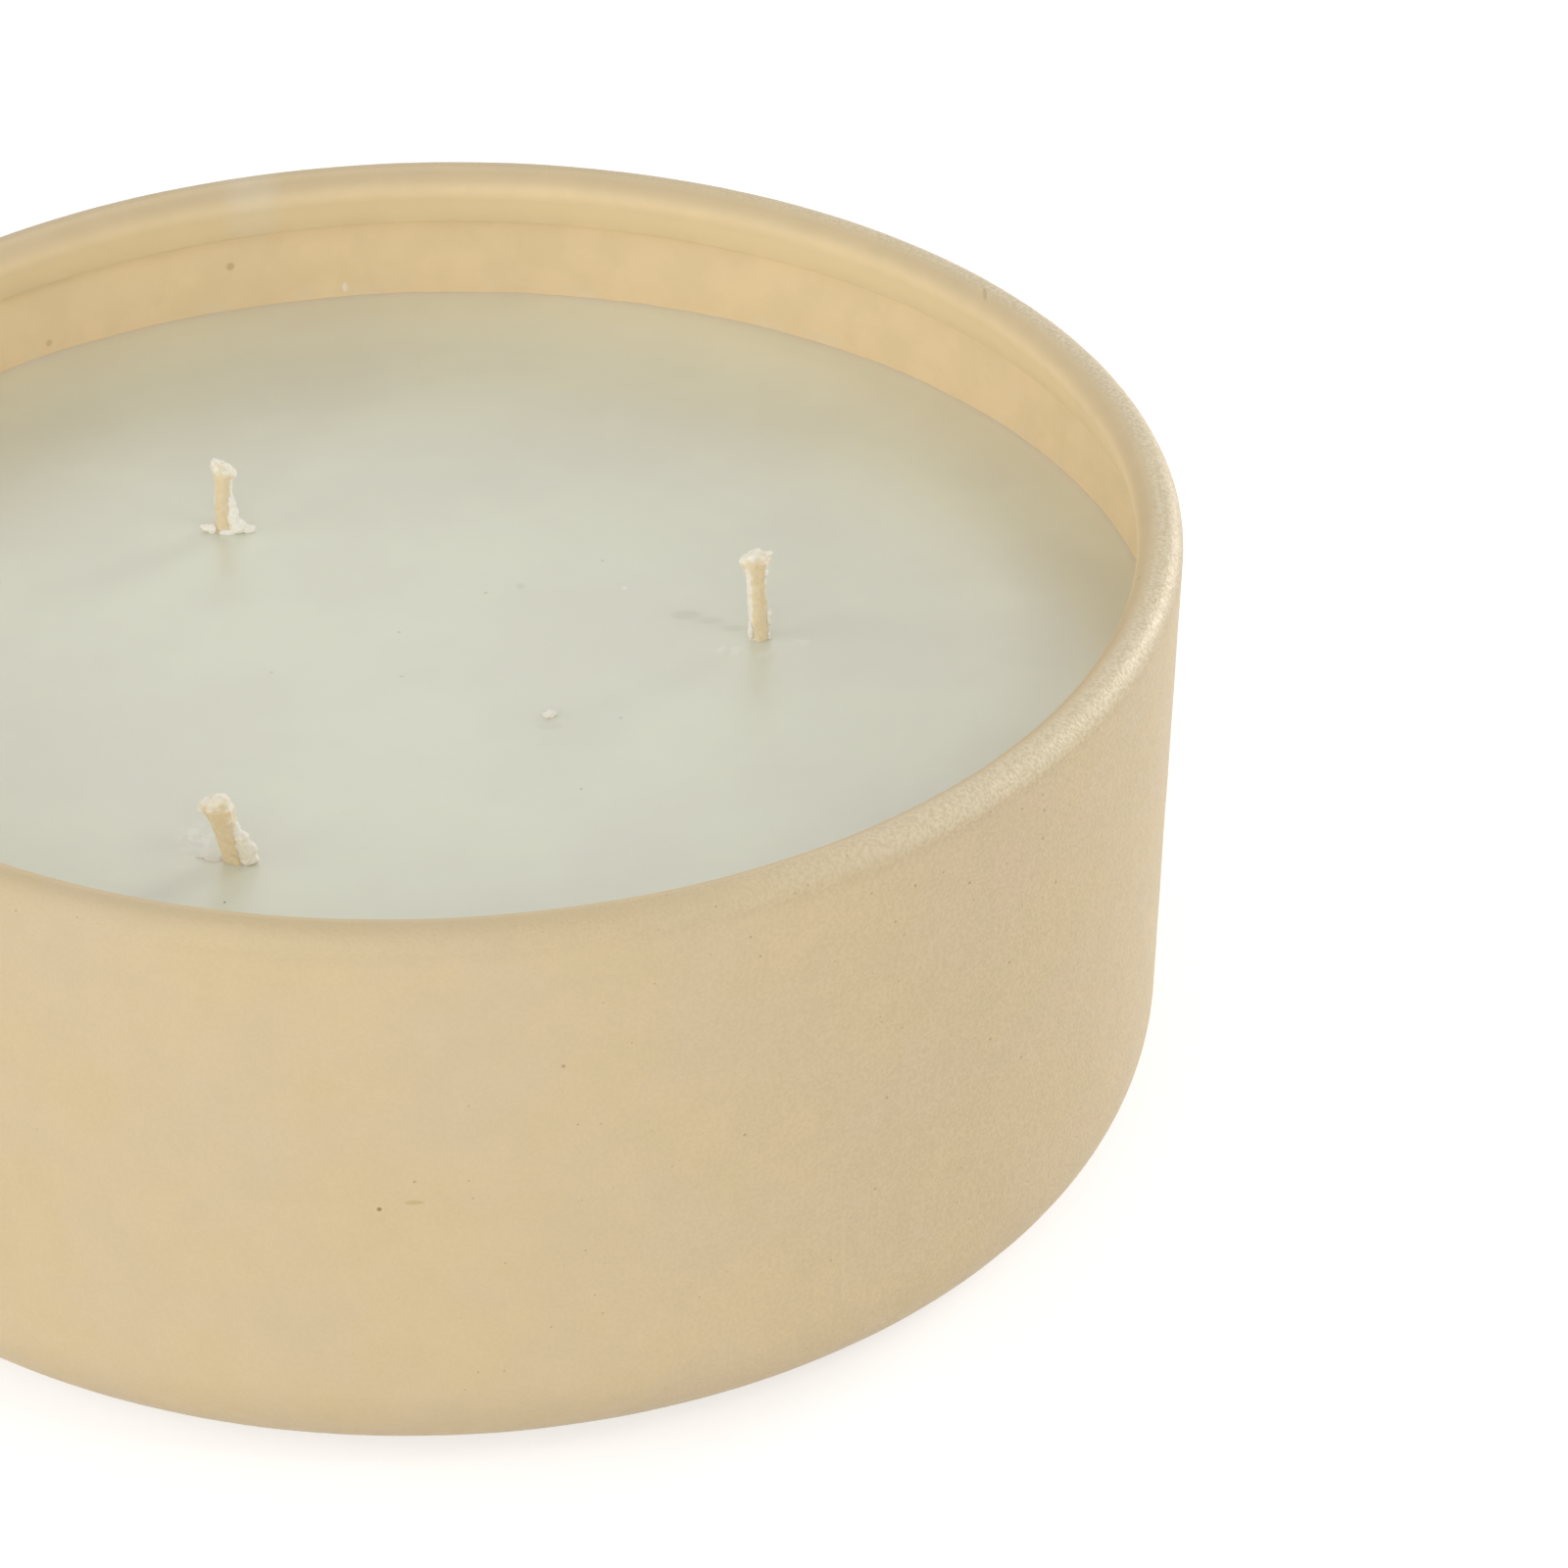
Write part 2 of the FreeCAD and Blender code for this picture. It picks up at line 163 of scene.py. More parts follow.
# Single marks in the paint: place in millimetres, stretch, reach in millimetres, colour, strength
BOWL_MARKS = (
    ((-5.98, -73.43, 32.83), ROUND, 0.3, (0.28, 0.17, 0.08, 1), 0.8),
    ((-2.7, -73.6, 33.6), (1.7, 1.0, 0.5), 0.7, (0.52, 0.36, 0.12, 1), 0.45),
    ((-2.61, -73.78, 36.03), ROUND, 0.2, PAINT_SPECK, 0.6),
    ((11.48, -73.49, 48.17), ROUND, 0.26, PAINT_SPECK, 0.7),
    ((28.34, -68.17, 36.07), ROUND, 0.22, PAINT_SPECK, 0.6),
    ((42.11, -60.57, 34.48), ROUND, 0.22, PAINT_SPECK, 0.6),
    ((40.96, -60.8, 24.2), ROUND, 0.2, PAINT_SPECK, 0.6),
    ((-18.94, 70.69, 53.65), ROUND, 0.6, (0.50, 0.36, 0.18, 1), 0.55),
    ((-6.98, 72.66, 49.62), (0.6, 1.0, 1.2), 0.6, (0.90, 0.86, 0.74, 1), 0.7),
    ((-38.08, 62.31, 49.87), ROUND, 0.5, (0.52, 0.38, 0.18, 1), 0.45),
    ((69.5, -15.34, 63.38), ROUND, 0.35, (0.36, 0.27, 0.15, 1), 0.6),
    ((58.64, 41.35, 63.74), (0.35, 1.5, 1.5), 0.8, (0.46, 0.37, 0.24, 1), 0.6),
)

# Single marks on the wax, in the same way but without a height: a dark speck, painted shade at
# the left of the right wick in three parts, painted shade under the crumb, pale and dark specks
WAX_MARKS = (
    ((-19.7, -44.1), (0.7, 1.3, 1.0), 0.2, (0.16, 0.13, 0.09, 1), 0.8),
    # Painted shade at the left of the right wick, in three parts.
    ((26.2, 5.4), (1.5, 0.9, 1.0), 1.3, (0.52, 0.52, 0.38, 1), 0.34),
    ((28.6, 4.2), (1.6, 0.7, 1.0), 1.2, (0.55, 0.55, 0.41, 1), 0.26),
    ((31.0, 2.5), (1.4, 0.7, 1.0), 1.1, (0.55, 0.55, 0.41, 1), 0.3),
    # Painted shade under the crumb.
    ((12.0, -14.7), (1.7, 0.8, 1.0), 1.0, (0.55, 0.55, 0.42, 1), 0.25),
    ((6.4, 11.0), ROUND, 0.3, (0.42, 0.42, 0.34, 1), 0.4),
    ((9.9, 12.1), (1.0, 1.2, 1.0), 0.6, (0.55, 0.56, 0.46, 1), 0.35),
    ((20.3, 11.0), ROUND, 0.4, (0.90, 0.88, 0.78, 1), 0.6),
    ((18.3, 16.5), ROUND, 0.28, (0.42, 0.40, 0.32, 1), 0.4),
    ((-2.4, 4.0), ROUND, 0.24, WAX_SPECK, 0.45),
    ((-15.1, -2.8), ROUND, 0.24, WAX_SPECK, 0.4),
    ((-2.3, -4.4), (1.4, 0.8, 1.0), 0.24, WAX_SPECK, 0.45),
    ((14.7, -26.3), (1.0, 1.3, 1.0), 0.24, WAX_SPECK, 0.45),
    ((19.0, -13.6), ROUND, 0.24, WAX_SPECK, 0.45),
)

# The small raised crumb in the middle of the wax, millimetres
CRUMB_PLACE = (12.1, -12.7)
CRUMB_BLOBS = (((0.0, 0.0, 0.1), (0.62, 0.55, 0.55)), ((-0.45, 0.3, 0.0), (0.4, 0.4, 0.3)))

# Soft boxes: name, azimuth from +X towards +Y and elevation in degrees, distance and sides in
# metres, power in watts, and whether the candle mirrors it
LAMPS = (
    ("key_box", -34, 46, 1.6, (0.4, 0.4), 2.0, False),
    ("front_box", -95, 20, 2.0, (2.2, 1.2), 16.5, False),
    ("left_box", 190, 18, 1.8, (1.2, 1.0), 10.0, False),
    ("right_box", -5, 16, 1.8, (1.2, 0.8), 0.8, False),
    ("rim_box", 38, 14, 1.8, (0.6, 0.5), 13.0, True),
    ("back_box", 92, 30, 2.0, (1.6, 0.8), 1.5, False),
)


def length(name, description, default):
    """A length that a user may change."""
    return bpy.props.FloatProperty(
        name=name, description=description, default=default, unit="LENGTH", precision=5
    )


def whole_number(name, description, default, low, high):
    """A whole number that a user may change."""
    return bpy.props.IntProperty(
        name=name, description=description, default=default, min=low, max=high
    )


def share(name, description, default):
    """A plain number from nothing to one."""
    return bpy.props.FloatProperty(
        name=name, description=description, default=default, min=0.0, max=1.0, subtype="FACTOR"
    )


def colour(name, description, default):
    """A colour that a user may change."""
    return bpy.props.FloatVectorProperty(
        name=name, description=description, default=(*default, 1.0), size=4, min=0.0, max=1.0,
        subtype="COLOR",
    )


class BowlSettings(bpy.types.PropertyGroup):
    """Sizes and finish of the bowl."""

    rim_radius: length("Rim radius", "Axis to the outside of the bead", BOWL_HIGH.x)
    height: length("Height", "Floor to the top of the bead", BOWL_HIGH.z)
    foot_radius: length("Foot radius", "Flat foot, inside the corner curve", 60.8 * MM)
    corner_radius: length("Corner radius", "Outside curve from the foot to the side", 12 * MM)
    gauge: length("Gauge", "Thickness of the sheet", 1.5 * MM)
    bead_width: length("Bead width", "Thickness of the rolled rim", 4.6 * MM)
    hem_depth: length("Hem depth", "Top of the bead down to the raw edge", 6.4 * MM)
    hem_gap: length("Hem gap", "Raw edge to the side", 0.2 * MM)
    edge_rounding: length("Edge rounding", "Worn corners of the raw edge", 0.16 * MM)
    unevenness: length("Unevenness", "How far the spun surface wanders", 0.08 * MM)
    unevenness_size: length("Unevenness size", "Width of a low or high place", 9 * MM)
    steps: whole_number("Steps", "Flats around the bowl", 320, 32, 720)
    outside_colour: colour("Outside", "Paint outside", (0.745, 0.59, 0.355))
    # Lighter than the outside paint: painted light for the inside of the bowl.
    inside_colour_and_painted_light: colour("Inside", "Paint inside", (0.86, 0.68, 0.42))
    pit_colour: colour("Pits", "Metal in the paint's pinholes", (0.36, 0.26, 0.14))
    metalness: share("Metalness", "Share of metal flake in the paint", 0.22)
    roughness: share("Roughness", "Roughness of the satin paint", 0.45)


class WaxSettings(bpy.types.PropertyGroup):
    """Sizes and finish of the poured wax."""

    top: length("Top", "Floor to the wax's surface", WAX_HIGH.z)
    side_gap: length("Side gap", "Wax to the bowl's side", 0.1 * MM)
    edge_rise: length("Edge rise", "Climb of the wax's edge up the side", 0.15 * MM)
    edge_width: length("Edge width", "Width of the climbing edge", 1.6 * MM)
    ring_width: length("Ring width", "Distance between rings of the surface", 1.5 * MM)
    ripple: length("Ripple", "Height of the rough places round the wicks", 0.16 * MM)
    ripple_size: length("Ripple size", "Width of one rough place", 0.9 * MM)
    skin: length("Skin", "Wax's surface down to the rooms of the tabs", 1.2 * MM)
    broken_width: length("Broken width", "Width of the uneven strip by the side", 0.7 * MM)
    broken_size: length("Broken size", "Length of one break in the edge", 2.6 * MM)
    broken_height: length("Broken height", "Height of the breaks in the edge", 0.3 * MM)
    steps: whole_number("Steps", "Flats around the wax", 256, 32, 720)
    body_colour: colour("Wax", "Poured wax", (0.76, 0.77, 0.622))
    crumb_colour: colour("Crumbs", "Broken and dried wax", (0.93, 0.905, 0.82))
    roughness: share("Roughness", "Roughness of the set surface", 0.34)


class WickSettings(bpy.types.PropertyGroup):
    """Sizes and finish of the wicks."""

    strands: whole_number("Strands", "Yarns twisted into the wick", 6, 3, 12)
    strand_radius: length("Strand radius", "Half the thickness of one yarn", 0.56 * MM)
    strand_reach: length("Strand reach", "Wick's axis to a yarn's axis", 0.5 * MM)
    twist_pitch: length("Twist pitch", "Height of one turn of the yarns", 9 * MM)
    ring_step: length("Ring step", "Height between two rings of a yarn", 0.3 * MM)
    flare_height: length("Flare height", "Opened end of the wick", 2.2 * MM)
    buried: length("Buried", "Twisted yarns below the wax's surface", 2.2 * MM)
    detail: length("Detail", "Size of the smallest lump that is kept", 0.08 * MM)
    body_colour: colour("Body", "Waxed cotton", (0.80, 0.665, 0.43))
    tip_colour: colour("Tip", "Dry cotton at the cut", (0.90, 0.87, 0.77))


class StageSettings(bpy.types.PropertyGroup):
    """Camera, lamps and floor."""

    lens: bpy.props.FloatProperty(
        name="Lens", description="Focal length in millimetres", default=202.5, unit="CAMERA"
    )
    sensor: bpy.props.FloatProperty(
        name="Sensor", description="Sensor width in millimetres", default=36.0, unit="CAMERA"
    )
    camera_place: bpy.props.FloatVectorProperty(
        name="Camera", description="Where it stands", default=(0.0, -0.74618, 0.50471),
        subtype="TRANSLATION", unit="LENGTH",
    )
    camera_aim: bpy.props.FloatVectorProperty(
        name="Aim", description="The middle of the picture", default=(0.03558, 0.0, 0.03147),
        subtype="TRANSLATION", unit="LENGTH",
    )
    camera_roll: bpy.props.FloatProperty(
        name="Roll", description="Turn of the camera", default=-0.00999, unit="ROTATION"
    )
    floor_size: length("Floor size", "Side of the floor", 12.0)
    floor_colour: colour("Floor", "Pale floor", (0.62, 0.62, 0.62))
    floor_glow: share("Floor glow", "White added where the camera sees the floor", 0.58)
    sky_strength: share("Sky strength", "Even light from all round", 0.47)


def clear_selection():
    """Nothing selected, so that an operator acts only on what comes next."""
    if bpy.context.object and bpy.context.object.mode != "OBJECT":
        bpy.ops.object.mode_set(mode="OBJECT")
    bpy.ops.object.select_all(action="DESELECT")


def edit_all(select_type="VERT"):
    bpy.ops.object.mode_set(mode="EDIT")
    bpy.ops.mesh.select_mode(type=select_type)
    bpy.ops.mesh.select_all(action="SELECT")


def end_edit():
    bpy.ops.object.mode_set(mode="OBJECT")


def named(piece, name):
    piece.name = name
    piece.data.name = name
    return piece


def pick(*pieces):
    """Selects these pieces and nothing else, with the first one active."""
    clear_selection()
    for piece in pieces:
        piece.select_set(True)
    bpy.context.view_layer.objects.active = pieces[0]


def settle(piece):
    """Puts the piece's place into its mesh, so that its object sits at the origin."""
    pick(piece)
    bpy.ops.object.transform_apply(location=True, rotation=True, scale=True)
    return piece


def apply_modifier(piece, kind, **settings):
    """Adds a modifier, sets it up and makes it part of the mesh."""
    pick(piece)
    modifier = piece.modifiers.new(kind.lower(), kind)
    for name, value in settings.items():
        setattr(modifier, name, value)
    bpy.ops.object.modifier_apply(modifier=modifier.name)


def join_pieces(pieces):
    """One object from several, under the first one's name."""
    pick(*pieces)
    bpy.ops.object.join()
    return pieces[0]


def smooth(piece, degrees):
    """Smooth shading, except over edges that are sharper than an angle."""
    pick(piece)
    bpy.ops.object.shade_smooth_by_angle(angle=math.radians(degrees))


def cloud_texture(name, size, depth=2):
    """A soft three-dimensional pattern for pushing surfaces in and out."""
    texture = bpy.data.textures.new(name, "CLOUDS")
    texture.noise_scale = size
    texture.noise_depth = depth
    return texture


def dress(piece, material, slot, *replaced):
    """Gives a finished piece its finish and its body, and hides the solids that it stands for."""
    piece.data.materials.clear()
    piece.data.materials.append(material)
    if replaced:
        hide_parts(*replaced)
    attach(piece, BODY)
    return piece


def arc_points(centre, radius, start, end, count):
    """Points along an arc, both ends included."""
    points = []
    for index in range(count + 1):
        angle = start + (end - start) * index / count
        points.append((centre[0] + radius * math.cos(angle), centre[1] + radius * math.sin(angle)))
    return points


def line_points(start, end, count):
    """Points along a line, without its start."""
    run, rise = end[0] - start[0], end[1] - start[1]
    return [
        (start[0] + run * index / count, start[1] + rise * index / count)
        for index in range(1, count + 1)
    ]


def rounded(before, corner, after, reach, count=4):
    """Points that cut a corner in a short curve."""
    corner = Vector(corner)
    first = corner + (Vector(before) - corner).normalized() * reach
    last = corner + (Vector(after) - corner).normalized() * reach
    points = []
    for index in range(count + 1):
        part = index / count
        points.append(tuple(first.lerp(corner, part).lerp(corner.lerp(last, part), part)))
    return points


class BowlShape:
    """The bowl's section, worked out from its sizes as the solid's is."""

    def __init__(self, bowl):
        self.bowl = bowl
        self.corner = (bowl.foot_radius, bowl.corner_radius)
        half_bead = bowl.bead_width / 2
        self.bead = (bowl.rim_radius - half_bead, bowl.height - half_bead)
        self.half_bead = half_bead
        run = self.bead[0] - self.corner[0]
        rise = self.bead[1] - self.corner[1]
        spread = bowl.corner_radius - half_bead
        self.slope = math.atan2(run, rise) - math.asin(spread / math.hypot(run, rise))

    def side(self, height, offset=0.0):
        """Radius of the bowl's inner side at a height, less an offset."""
        inner = self.bowl.corner_radius - self.bowl.gauge - offset / math.cos(self.slope)
        foot = (
            self.corner[0] + inner * math.cos(self.slope),
            self.corner[1] - inner * math.sin(self.slope),
        )
        return foot[0] + (height - foot[1]) * math.tan(self.slope)

    def hem_end(self, tilt):
        """The raw edge's two corners for a tilt of the hem."""
        across = Vector((math.cos(tilt), math.sin(tilt)))
        down = Vector((math.sin(tilt), -math.cos(tilt)))
        start = Vector(self.bead) - across * self.half_bead
        reach = (start.y - (self.bowl.height - self.bowl.hem_depth)) / math.cos(tilt)
        inner = start + down * reach
        return inner, inner + across * self.bowl.gauge

    def hem_tilt(self):
        """The tilt that leaves the hem gap between the raw edge and the side."""
        low, high = 0.0, math.radians(45)
        for _ in range(40):
            tilt = (low + high) / 2
            outer = self.hem_end(tilt)[1]
            gap = (self.side(outer.y) - outer.x) * math.cos(self.slope)
            if gap > self.bowl.hem_gap:
                low = tilt
            else:
                high = tilt
        return tilt

    def section(self):
        """The sheet's outline from the middle of the foot round to the middle of the floor.

        Each point is (radius, height, share of outside paint)."""
        bowl = self.bowl
        quarter = math.pi / 2
        tilt = self.hem_tilt()
        inner_edge, outer_edge = self.hem_end(tilt)
        inner_bead = self.half_bead - bowl.gauge

        foot = [(0.0, 0.0)] + line_points((0.0, 0.0), (self.corner[0], 0.0), 8)[:-1]
        corner = arc_points(self.corner, bowl.corner_radius, -quarter, -self.slope, 18)
        bead = arc_points(self.bead, self.half_bead, -self.slope, math.pi + tilt, 26)
        side = line_points(corner[-1], bead[0], 24)[:-1]
        hem = line_points(bead[-1], tuple(inner_edge), 6)[:-1]
        back = arc_points(self.bead, inner_bead, math.pi + tilt, -self.slope, 12)
        edge = rounded(hem[-1], inner_edge, outer_edge, bowl.edge_rounding)
        edge += rounded(inner_edge, outer_edge, back[0], bowl.edge_rounding)
        hem_back = line_points(edge[-1], back[0], 5)[:-1]
        inner_corner = arc_points(
            self.corner, bowl.corner_radius - bowl.gauge, -self.slope, -quarter, 14
        )
        inner_side = line_points(back[-1], inner_corner[0], 24)[:-1]
        floor = line_points(inner_corner[-1], (0.0, bowl.gauge), 8)

        outline = [(point, 1.0) for point in foot + corner + side]
        paint_end, paint_blend = 0.62, 0.16
        for index, point in enumerate(bead):
            turned = index / (len(bead) - 1)
            outline.append((point, max(0.0, min(1.0, (paint_end - turned) / paint_blend))))
        inside = hem + edge + hem_back + back + inner_side + inner_corner + floor
        outline += [(point, 0.0) for point in inside]
        return [(point[0], point[1], paint) for point, paint in outline]


def turn_section(name, points, steps, mark=None):
    """Draws a section point by point and turns it once around the upright axis.

    mark names an attribute that takes each point's third number."""
    clear_selection()
    bpy.ops.mesh.primitive_plane_add(size=MM, location=(0, 0, 0))
    piece = named(bpy.context.object, name)
    edit_all()
    bpy.ops.mesh.merge(type="CENTER")
    bpy.ops.transform.translate(value=(points[0][0], 0, points[0][1]))
    for start, end in zip(points, points[1:]):
        step = (end[0] - start[0], 0, end[1] - start[1])
        bpy.ops.mesh.extrude_vertices_move(TRANSFORM_OT_translate={"value": step})
    end_edit()
    if mark:
        attribute = piece.data.attributes.new(mark, "FLOAT", "POINT")
        attribute.data.foreach_set("value", [point[2] for point in points])
    edit_all()
    bpy.ops.mesh.spin(steps=steps, angle=2 * math.pi, center=(0, 0, 0), axis=(0, 0, 1))
    bpy.ops.mesh.select_all(action="SELECT")
    bpy.ops.mesh.remove_doubles(threshold=0.001 * MM)
    bpy.ops.mesh.normals_make_consistent(inside=False)
    end_edit()
    return piece


def add_node(tree, kind, inputs=None, **settings):
    """A node with its settings. An input that is a socket is linked, any other is set."""
    node = tree.nodes.new(kind)
    for name, value in settings.items():
        setattr(node, name, value)
    for name, value in (inputs or {}).items():
        if isinstance(value, bpy.types.NodeSocket):
            tree.links.new(value, node.inputs[name])
        else:
            node.inputs[name].default_value = value
    return node


def calc(tree, operation, first, second=0.0):
    inputs = {0: first, 1: second}
    return add_node(tree, "ShaderNodeMath", inputs, operation=operation).outputs[0]


def times(tree, first, second):
    return calc(tree, "MULTIPLY", first, second)


def mix_colour(tree, factor, first, second):
    """The first colour where the factor is nothing, the second where it is one."""
    inputs = {0: factor, 6: first, 7: second}
    return add_node(tree, "ShaderNodeMix", inputs, data_type="RGBA").outputs[2]


def fade(tree, value, low, high, start=0.0, end=1.0):
    """A smooth change from start to end as the value goes from low to high."""
    inputs = {"Value": value, "From Min": low, "From Max": high, "To Min": start, "To Max": end}
    node = add_node(tree, "ShaderNodeMapRange", inputs, interpolation_type="SMOOTHSTEP")
    return node.outputs["Result"]


def axis_distance(tree, vector):
    """Distance from the bowl's upright axis."""
    flat = add_node(tree, "ShaderNodeVectorMath", {0: vector, 1: (1, 1, 0)}, operation="MULTIPLY")
    return add_node(
        tree, "ShaderNodeVectorMath", {0: flat.outputs[0]}, operation="LENGTH"
    ).outputs["Value"]


def height_of(tree, vector):
    return add_node(tree, "ShaderNodeSeparateXYZ", {0: vector}).outputs["Z"]


def effect(name, inputs, outputs):
    """An empty node group with named inputs and outputs."""
    tree = bpy.data.node_groups.new(name, "ShaderNodeTree")
    for label, kind, default in inputs:
        socket = tree.interface.new_socket(name=label, in_out="INPUT", socket_type=kind)
        socket.default_value = default
    for label, kind in outputs:
        tree.interface.new_socket(name=label, in_out="OUTPUT", socket_type=kind)
    return tree, tree.nodes.new("NodeGroupInput").outputs, tree.nodes.new("NodeGroupOutput").inputs


def grain_effect():
    """Fine uneven grain of one size."""
    tree, given, made = effect(
        "Grain",
        [("Vector", VECTOR, (0, 0, 0)), ("Size", FLOAT, MM), ("Detail", FLOAT, 2.0)],
        [("Height", FLOAT)],
    )
    scale = calc(tree, "DIVIDE", 1.0, given["Size"])
    noise = add_node(
        tree,
        "ShaderNodeTexNoise",
        {"Vector": given["Vector"], "Scale": scale, "Detail": given["Detail"]},
    )
    tree.links.new(noise.outputs[0], made["Height"])
    return tree


def mottle_effect():
    """A colour that drifts towards a tint in soft patches."""
    tree, given, made = effect(
        "Mottle",
        [
            ("Vector", VECTOR, (0, 0, 0)),
            ("Colour", COLOUR, WHITE),
            ("Tint", COLOUR, WHITE),
            ("Size", FLOAT, 0.01),
            ("Amount", FLOAT, 0.1),
        ],
        [("Colour", COLOUR)],
    )
    scale = calc(tree, "DIVIDE", 1.0, given["Size"])
    noise = add_node(
        tree,
        "ShaderNodeTexNoise",
        {"Vector": given["Vector"], "Scale": scale, "Detail": 3.0, "Roughness": 0.55},
    )
    patch = fade(tree, noise.outputs[0], 0.35, 0.65)
    factor = times(tree, patch, given["Amount"])
    mixed = mix_colour(tree, factor, given["Colour"], given["Tint"])
    tree.links.new(mixed, made["Colour"])
    return tree


def pits_effect():
    """Scattered pinholes: their mask is one inside a hole."""
    tree, given, made = effect(
        "Pits",
        [("Vector", VECTOR, (0, 0, 0)), ("Spacing", FLOAT, 0.0017), ("Radius", FLOAT, 0.00017)],
        [("Mask", FLOAT)],
    )
    scale = calc(tree, "DIVIDE", 1.0, given["Spacing"])
    cells = add_node(tree, "ShaderNodeTexVoronoi", {"Vector": given["Vector"], "Scale": scale})
    reach = times(tree, cells.outputs["Distance"], given["Spacing"])
    inner = times(tree, given["Radius"], 0.55)
    tree.links.new(fade(tree, reach, inner, given["Radius"], 1.0, 0.0), made["Mask"])
    return tree


def spot_effect():
    """One soft spot at a place on the piece."""
    tree, given, made = effect(
        "Spot",
        [
            ("Vector", VECTOR, (0, 0, 0)),
            ("Place", VECTOR, (0, 0, 0)),
            ("Stretch", VECTOR, (1, 1, 1)),
            ("Reach", FLOAT, MM),
        ],
        [("Mask", FLOAT)],
    )
    apart = add_node(
        tree, "ShaderNodeVectorMath", {0: given["Vector"], 1: given["Place"]}, operation="SUBTRACT"
    ).outputs[0]
    scaled = add_node(
        tree, "ShaderNodeVectorMath", {0: apart, 1: given["Stretch"]}, operation="DIVIDE"
    ).outputs[0]
    away = add_node(
        tree, "ShaderNodeVectorMath", {0: scaled}, operation="LENGTH"
    ).outputs["Value"]
    inner = times(tree, given["Reach"], 0.45)
    tree.links.new(fade(tree, away, inner, given["Reach"], 1.0, 0.0), made["Mask"])
    return tree


EFFECTS = {
    "Grain": grain_effect,
    "Mottle": mottle_effect,
    "Pits": pits_effect,
    "Spot": spot_effect,
}


def placed(tree, name, **inputs):
    """The first output of a shared effect, which is built the first time that it is used."""
    group = bpy.data.node_groups.get(name) or EFFECTS[name]()
    return add_node(tree, "ShaderNodeGroup", inputs, node_tree=group).outputs[0]


def share_of(tree, attribute):
    """A number that the mesh carries at each of its points."""
    node = add_node(
        tree, "ShaderNodeAttribute", None, attribute_name=attribute, attribute_type="GEOMETRY"
    )
    return node.outputs["Fac"]


def new_material(name):
    """A material, its node tree, its shader and the piece's own coordinates."""
    material = bpy.data.materials.new(name)
    material.use_nodes = True
    tree = material.node_tree
    shader = tree.nodes["Principled BSDF"]
    vector = add_node(tree, "ShaderNodeTexCoord").outputs["Object"]
    return material, tree, shader, vector


def bump(tree, shader, height, depth):
    """Raises the surface by a height of nothing to one times a depth."""
    node = add_node(tree, "ShaderNodeBump", {"Height": height, "Strength": 1.0, "Distance": depth})
    tree.links.new(node.outputs["Normal"], shader.inputs["Normal"])


def marked(tree, vector, tone, marks):
    """A tone with single marks on it."""
    for place, stretch, reach, mark_tone, strength in marks:
        mark = placed(
            tree, "Spot", Vector=vector, Place=[number * MM for number in place], Stretch=stretch,
            Reach=reach * MM,
        )
        tone = mix_colour(tree, times(tree, mark, strength), tone, mark_tone)
    return tone


class PaintPlaces:
    """Masks and distances that say where on the bowl the paint differs."""

    def __init__(self, tree, vector):
        self.outside = share_of(tree, "outside")
        self.inside = calc(tree, "SUBTRACT", 1.0, self.outside)
        self.height = height_of(tree, vector)
        self.across = add_node(tree, "ShaderNodeSeparateXYZ", {0: vector}).outputs["X"]
        self.bead = times(tree, fade(tree, self.height, 60 * MM, 62 * MM), self.outside)
        self.crown = times(tree, fade(tree, self.height, 61.4 * MM, 63 * MM), self.outside)


def pinholes(tree, vector, places):
    """Mask of the pinholes outside: they come in patches and are wider on the right."""
    patch = placed(tree, "Grain", Vector=vector, Size=30 * MM, Detail=1.0)
    widest = fade(tree, places.across, 10 * MM, 65 * MM, 0.15 * MM, 0.22 * MM)
    radius = fade(tree, patch, 0.4, 0.68, 0.02 * MM, widest)
    pits = placed(tree, "Pits", Vector=vector, Spacing=2.1 * MM, Radius=radius)
    return times(tree, pits, places.outside)


def drifting_paint(tree, vector, bowl, places):
    """The paint outside and the lighter paint inside, each with the slow drift of a sprayed coat;
    the inside's extra lightness is painted light.
    """
    # The inside is lighter by painted light.
    paint = mix_colour(tree, places.outside, tuple(bowl.inside_colour_and_painted_light), tuple(bowl.outside_colour))
    paint = placed(
        tree, "Mottle", Vector=vector, Colour=paint, Tint=(0.72, 0.58, 0.42, 1), Size=14 * MM,
        Amount=fade(tree, places.outside, 0.0, 1.0, 0.15, 0.35),
    )
    return placed(
        tree, "Mottle", Vector=vector, Colour=paint, Tint=(0.62, 0.52, 0.30, 1), Size=5 * MM,
        Amount=0.16,
    )


def speckled_paint(tree, vector, paint, places):
    """Paler on the right of the rim, a painted highlight, and speckled outside, most on the right.
    """
    # Paler towards the right along the crown of the bead: painted highlight.
    painted_highlight = times(tree, places.crown, fade(tree, places.across, 10 * MM, 60 * MM, 0.0, 0.5))
    paint = mix_colour(tree, painted_highlight, paint, (0.86, 0.79, 0.61, 1))
    on_bead = times(tree, places.bead, fade(tree, places.across, 0, 50 * MM, 0.0, 0.12))
    speckle = calc(tree, "ADD", fade(tree, places.across, 0, 70 * MM, 0.1, 0.4), on_bead)
    return placed(
        tree, "Mottle", Vector=vector, Colour=paint, Tint=(0.55, 0.43, 0.26, 1), Size=0.4 * MM,
        Amount=times(tree, places.outside, speckle),
    )


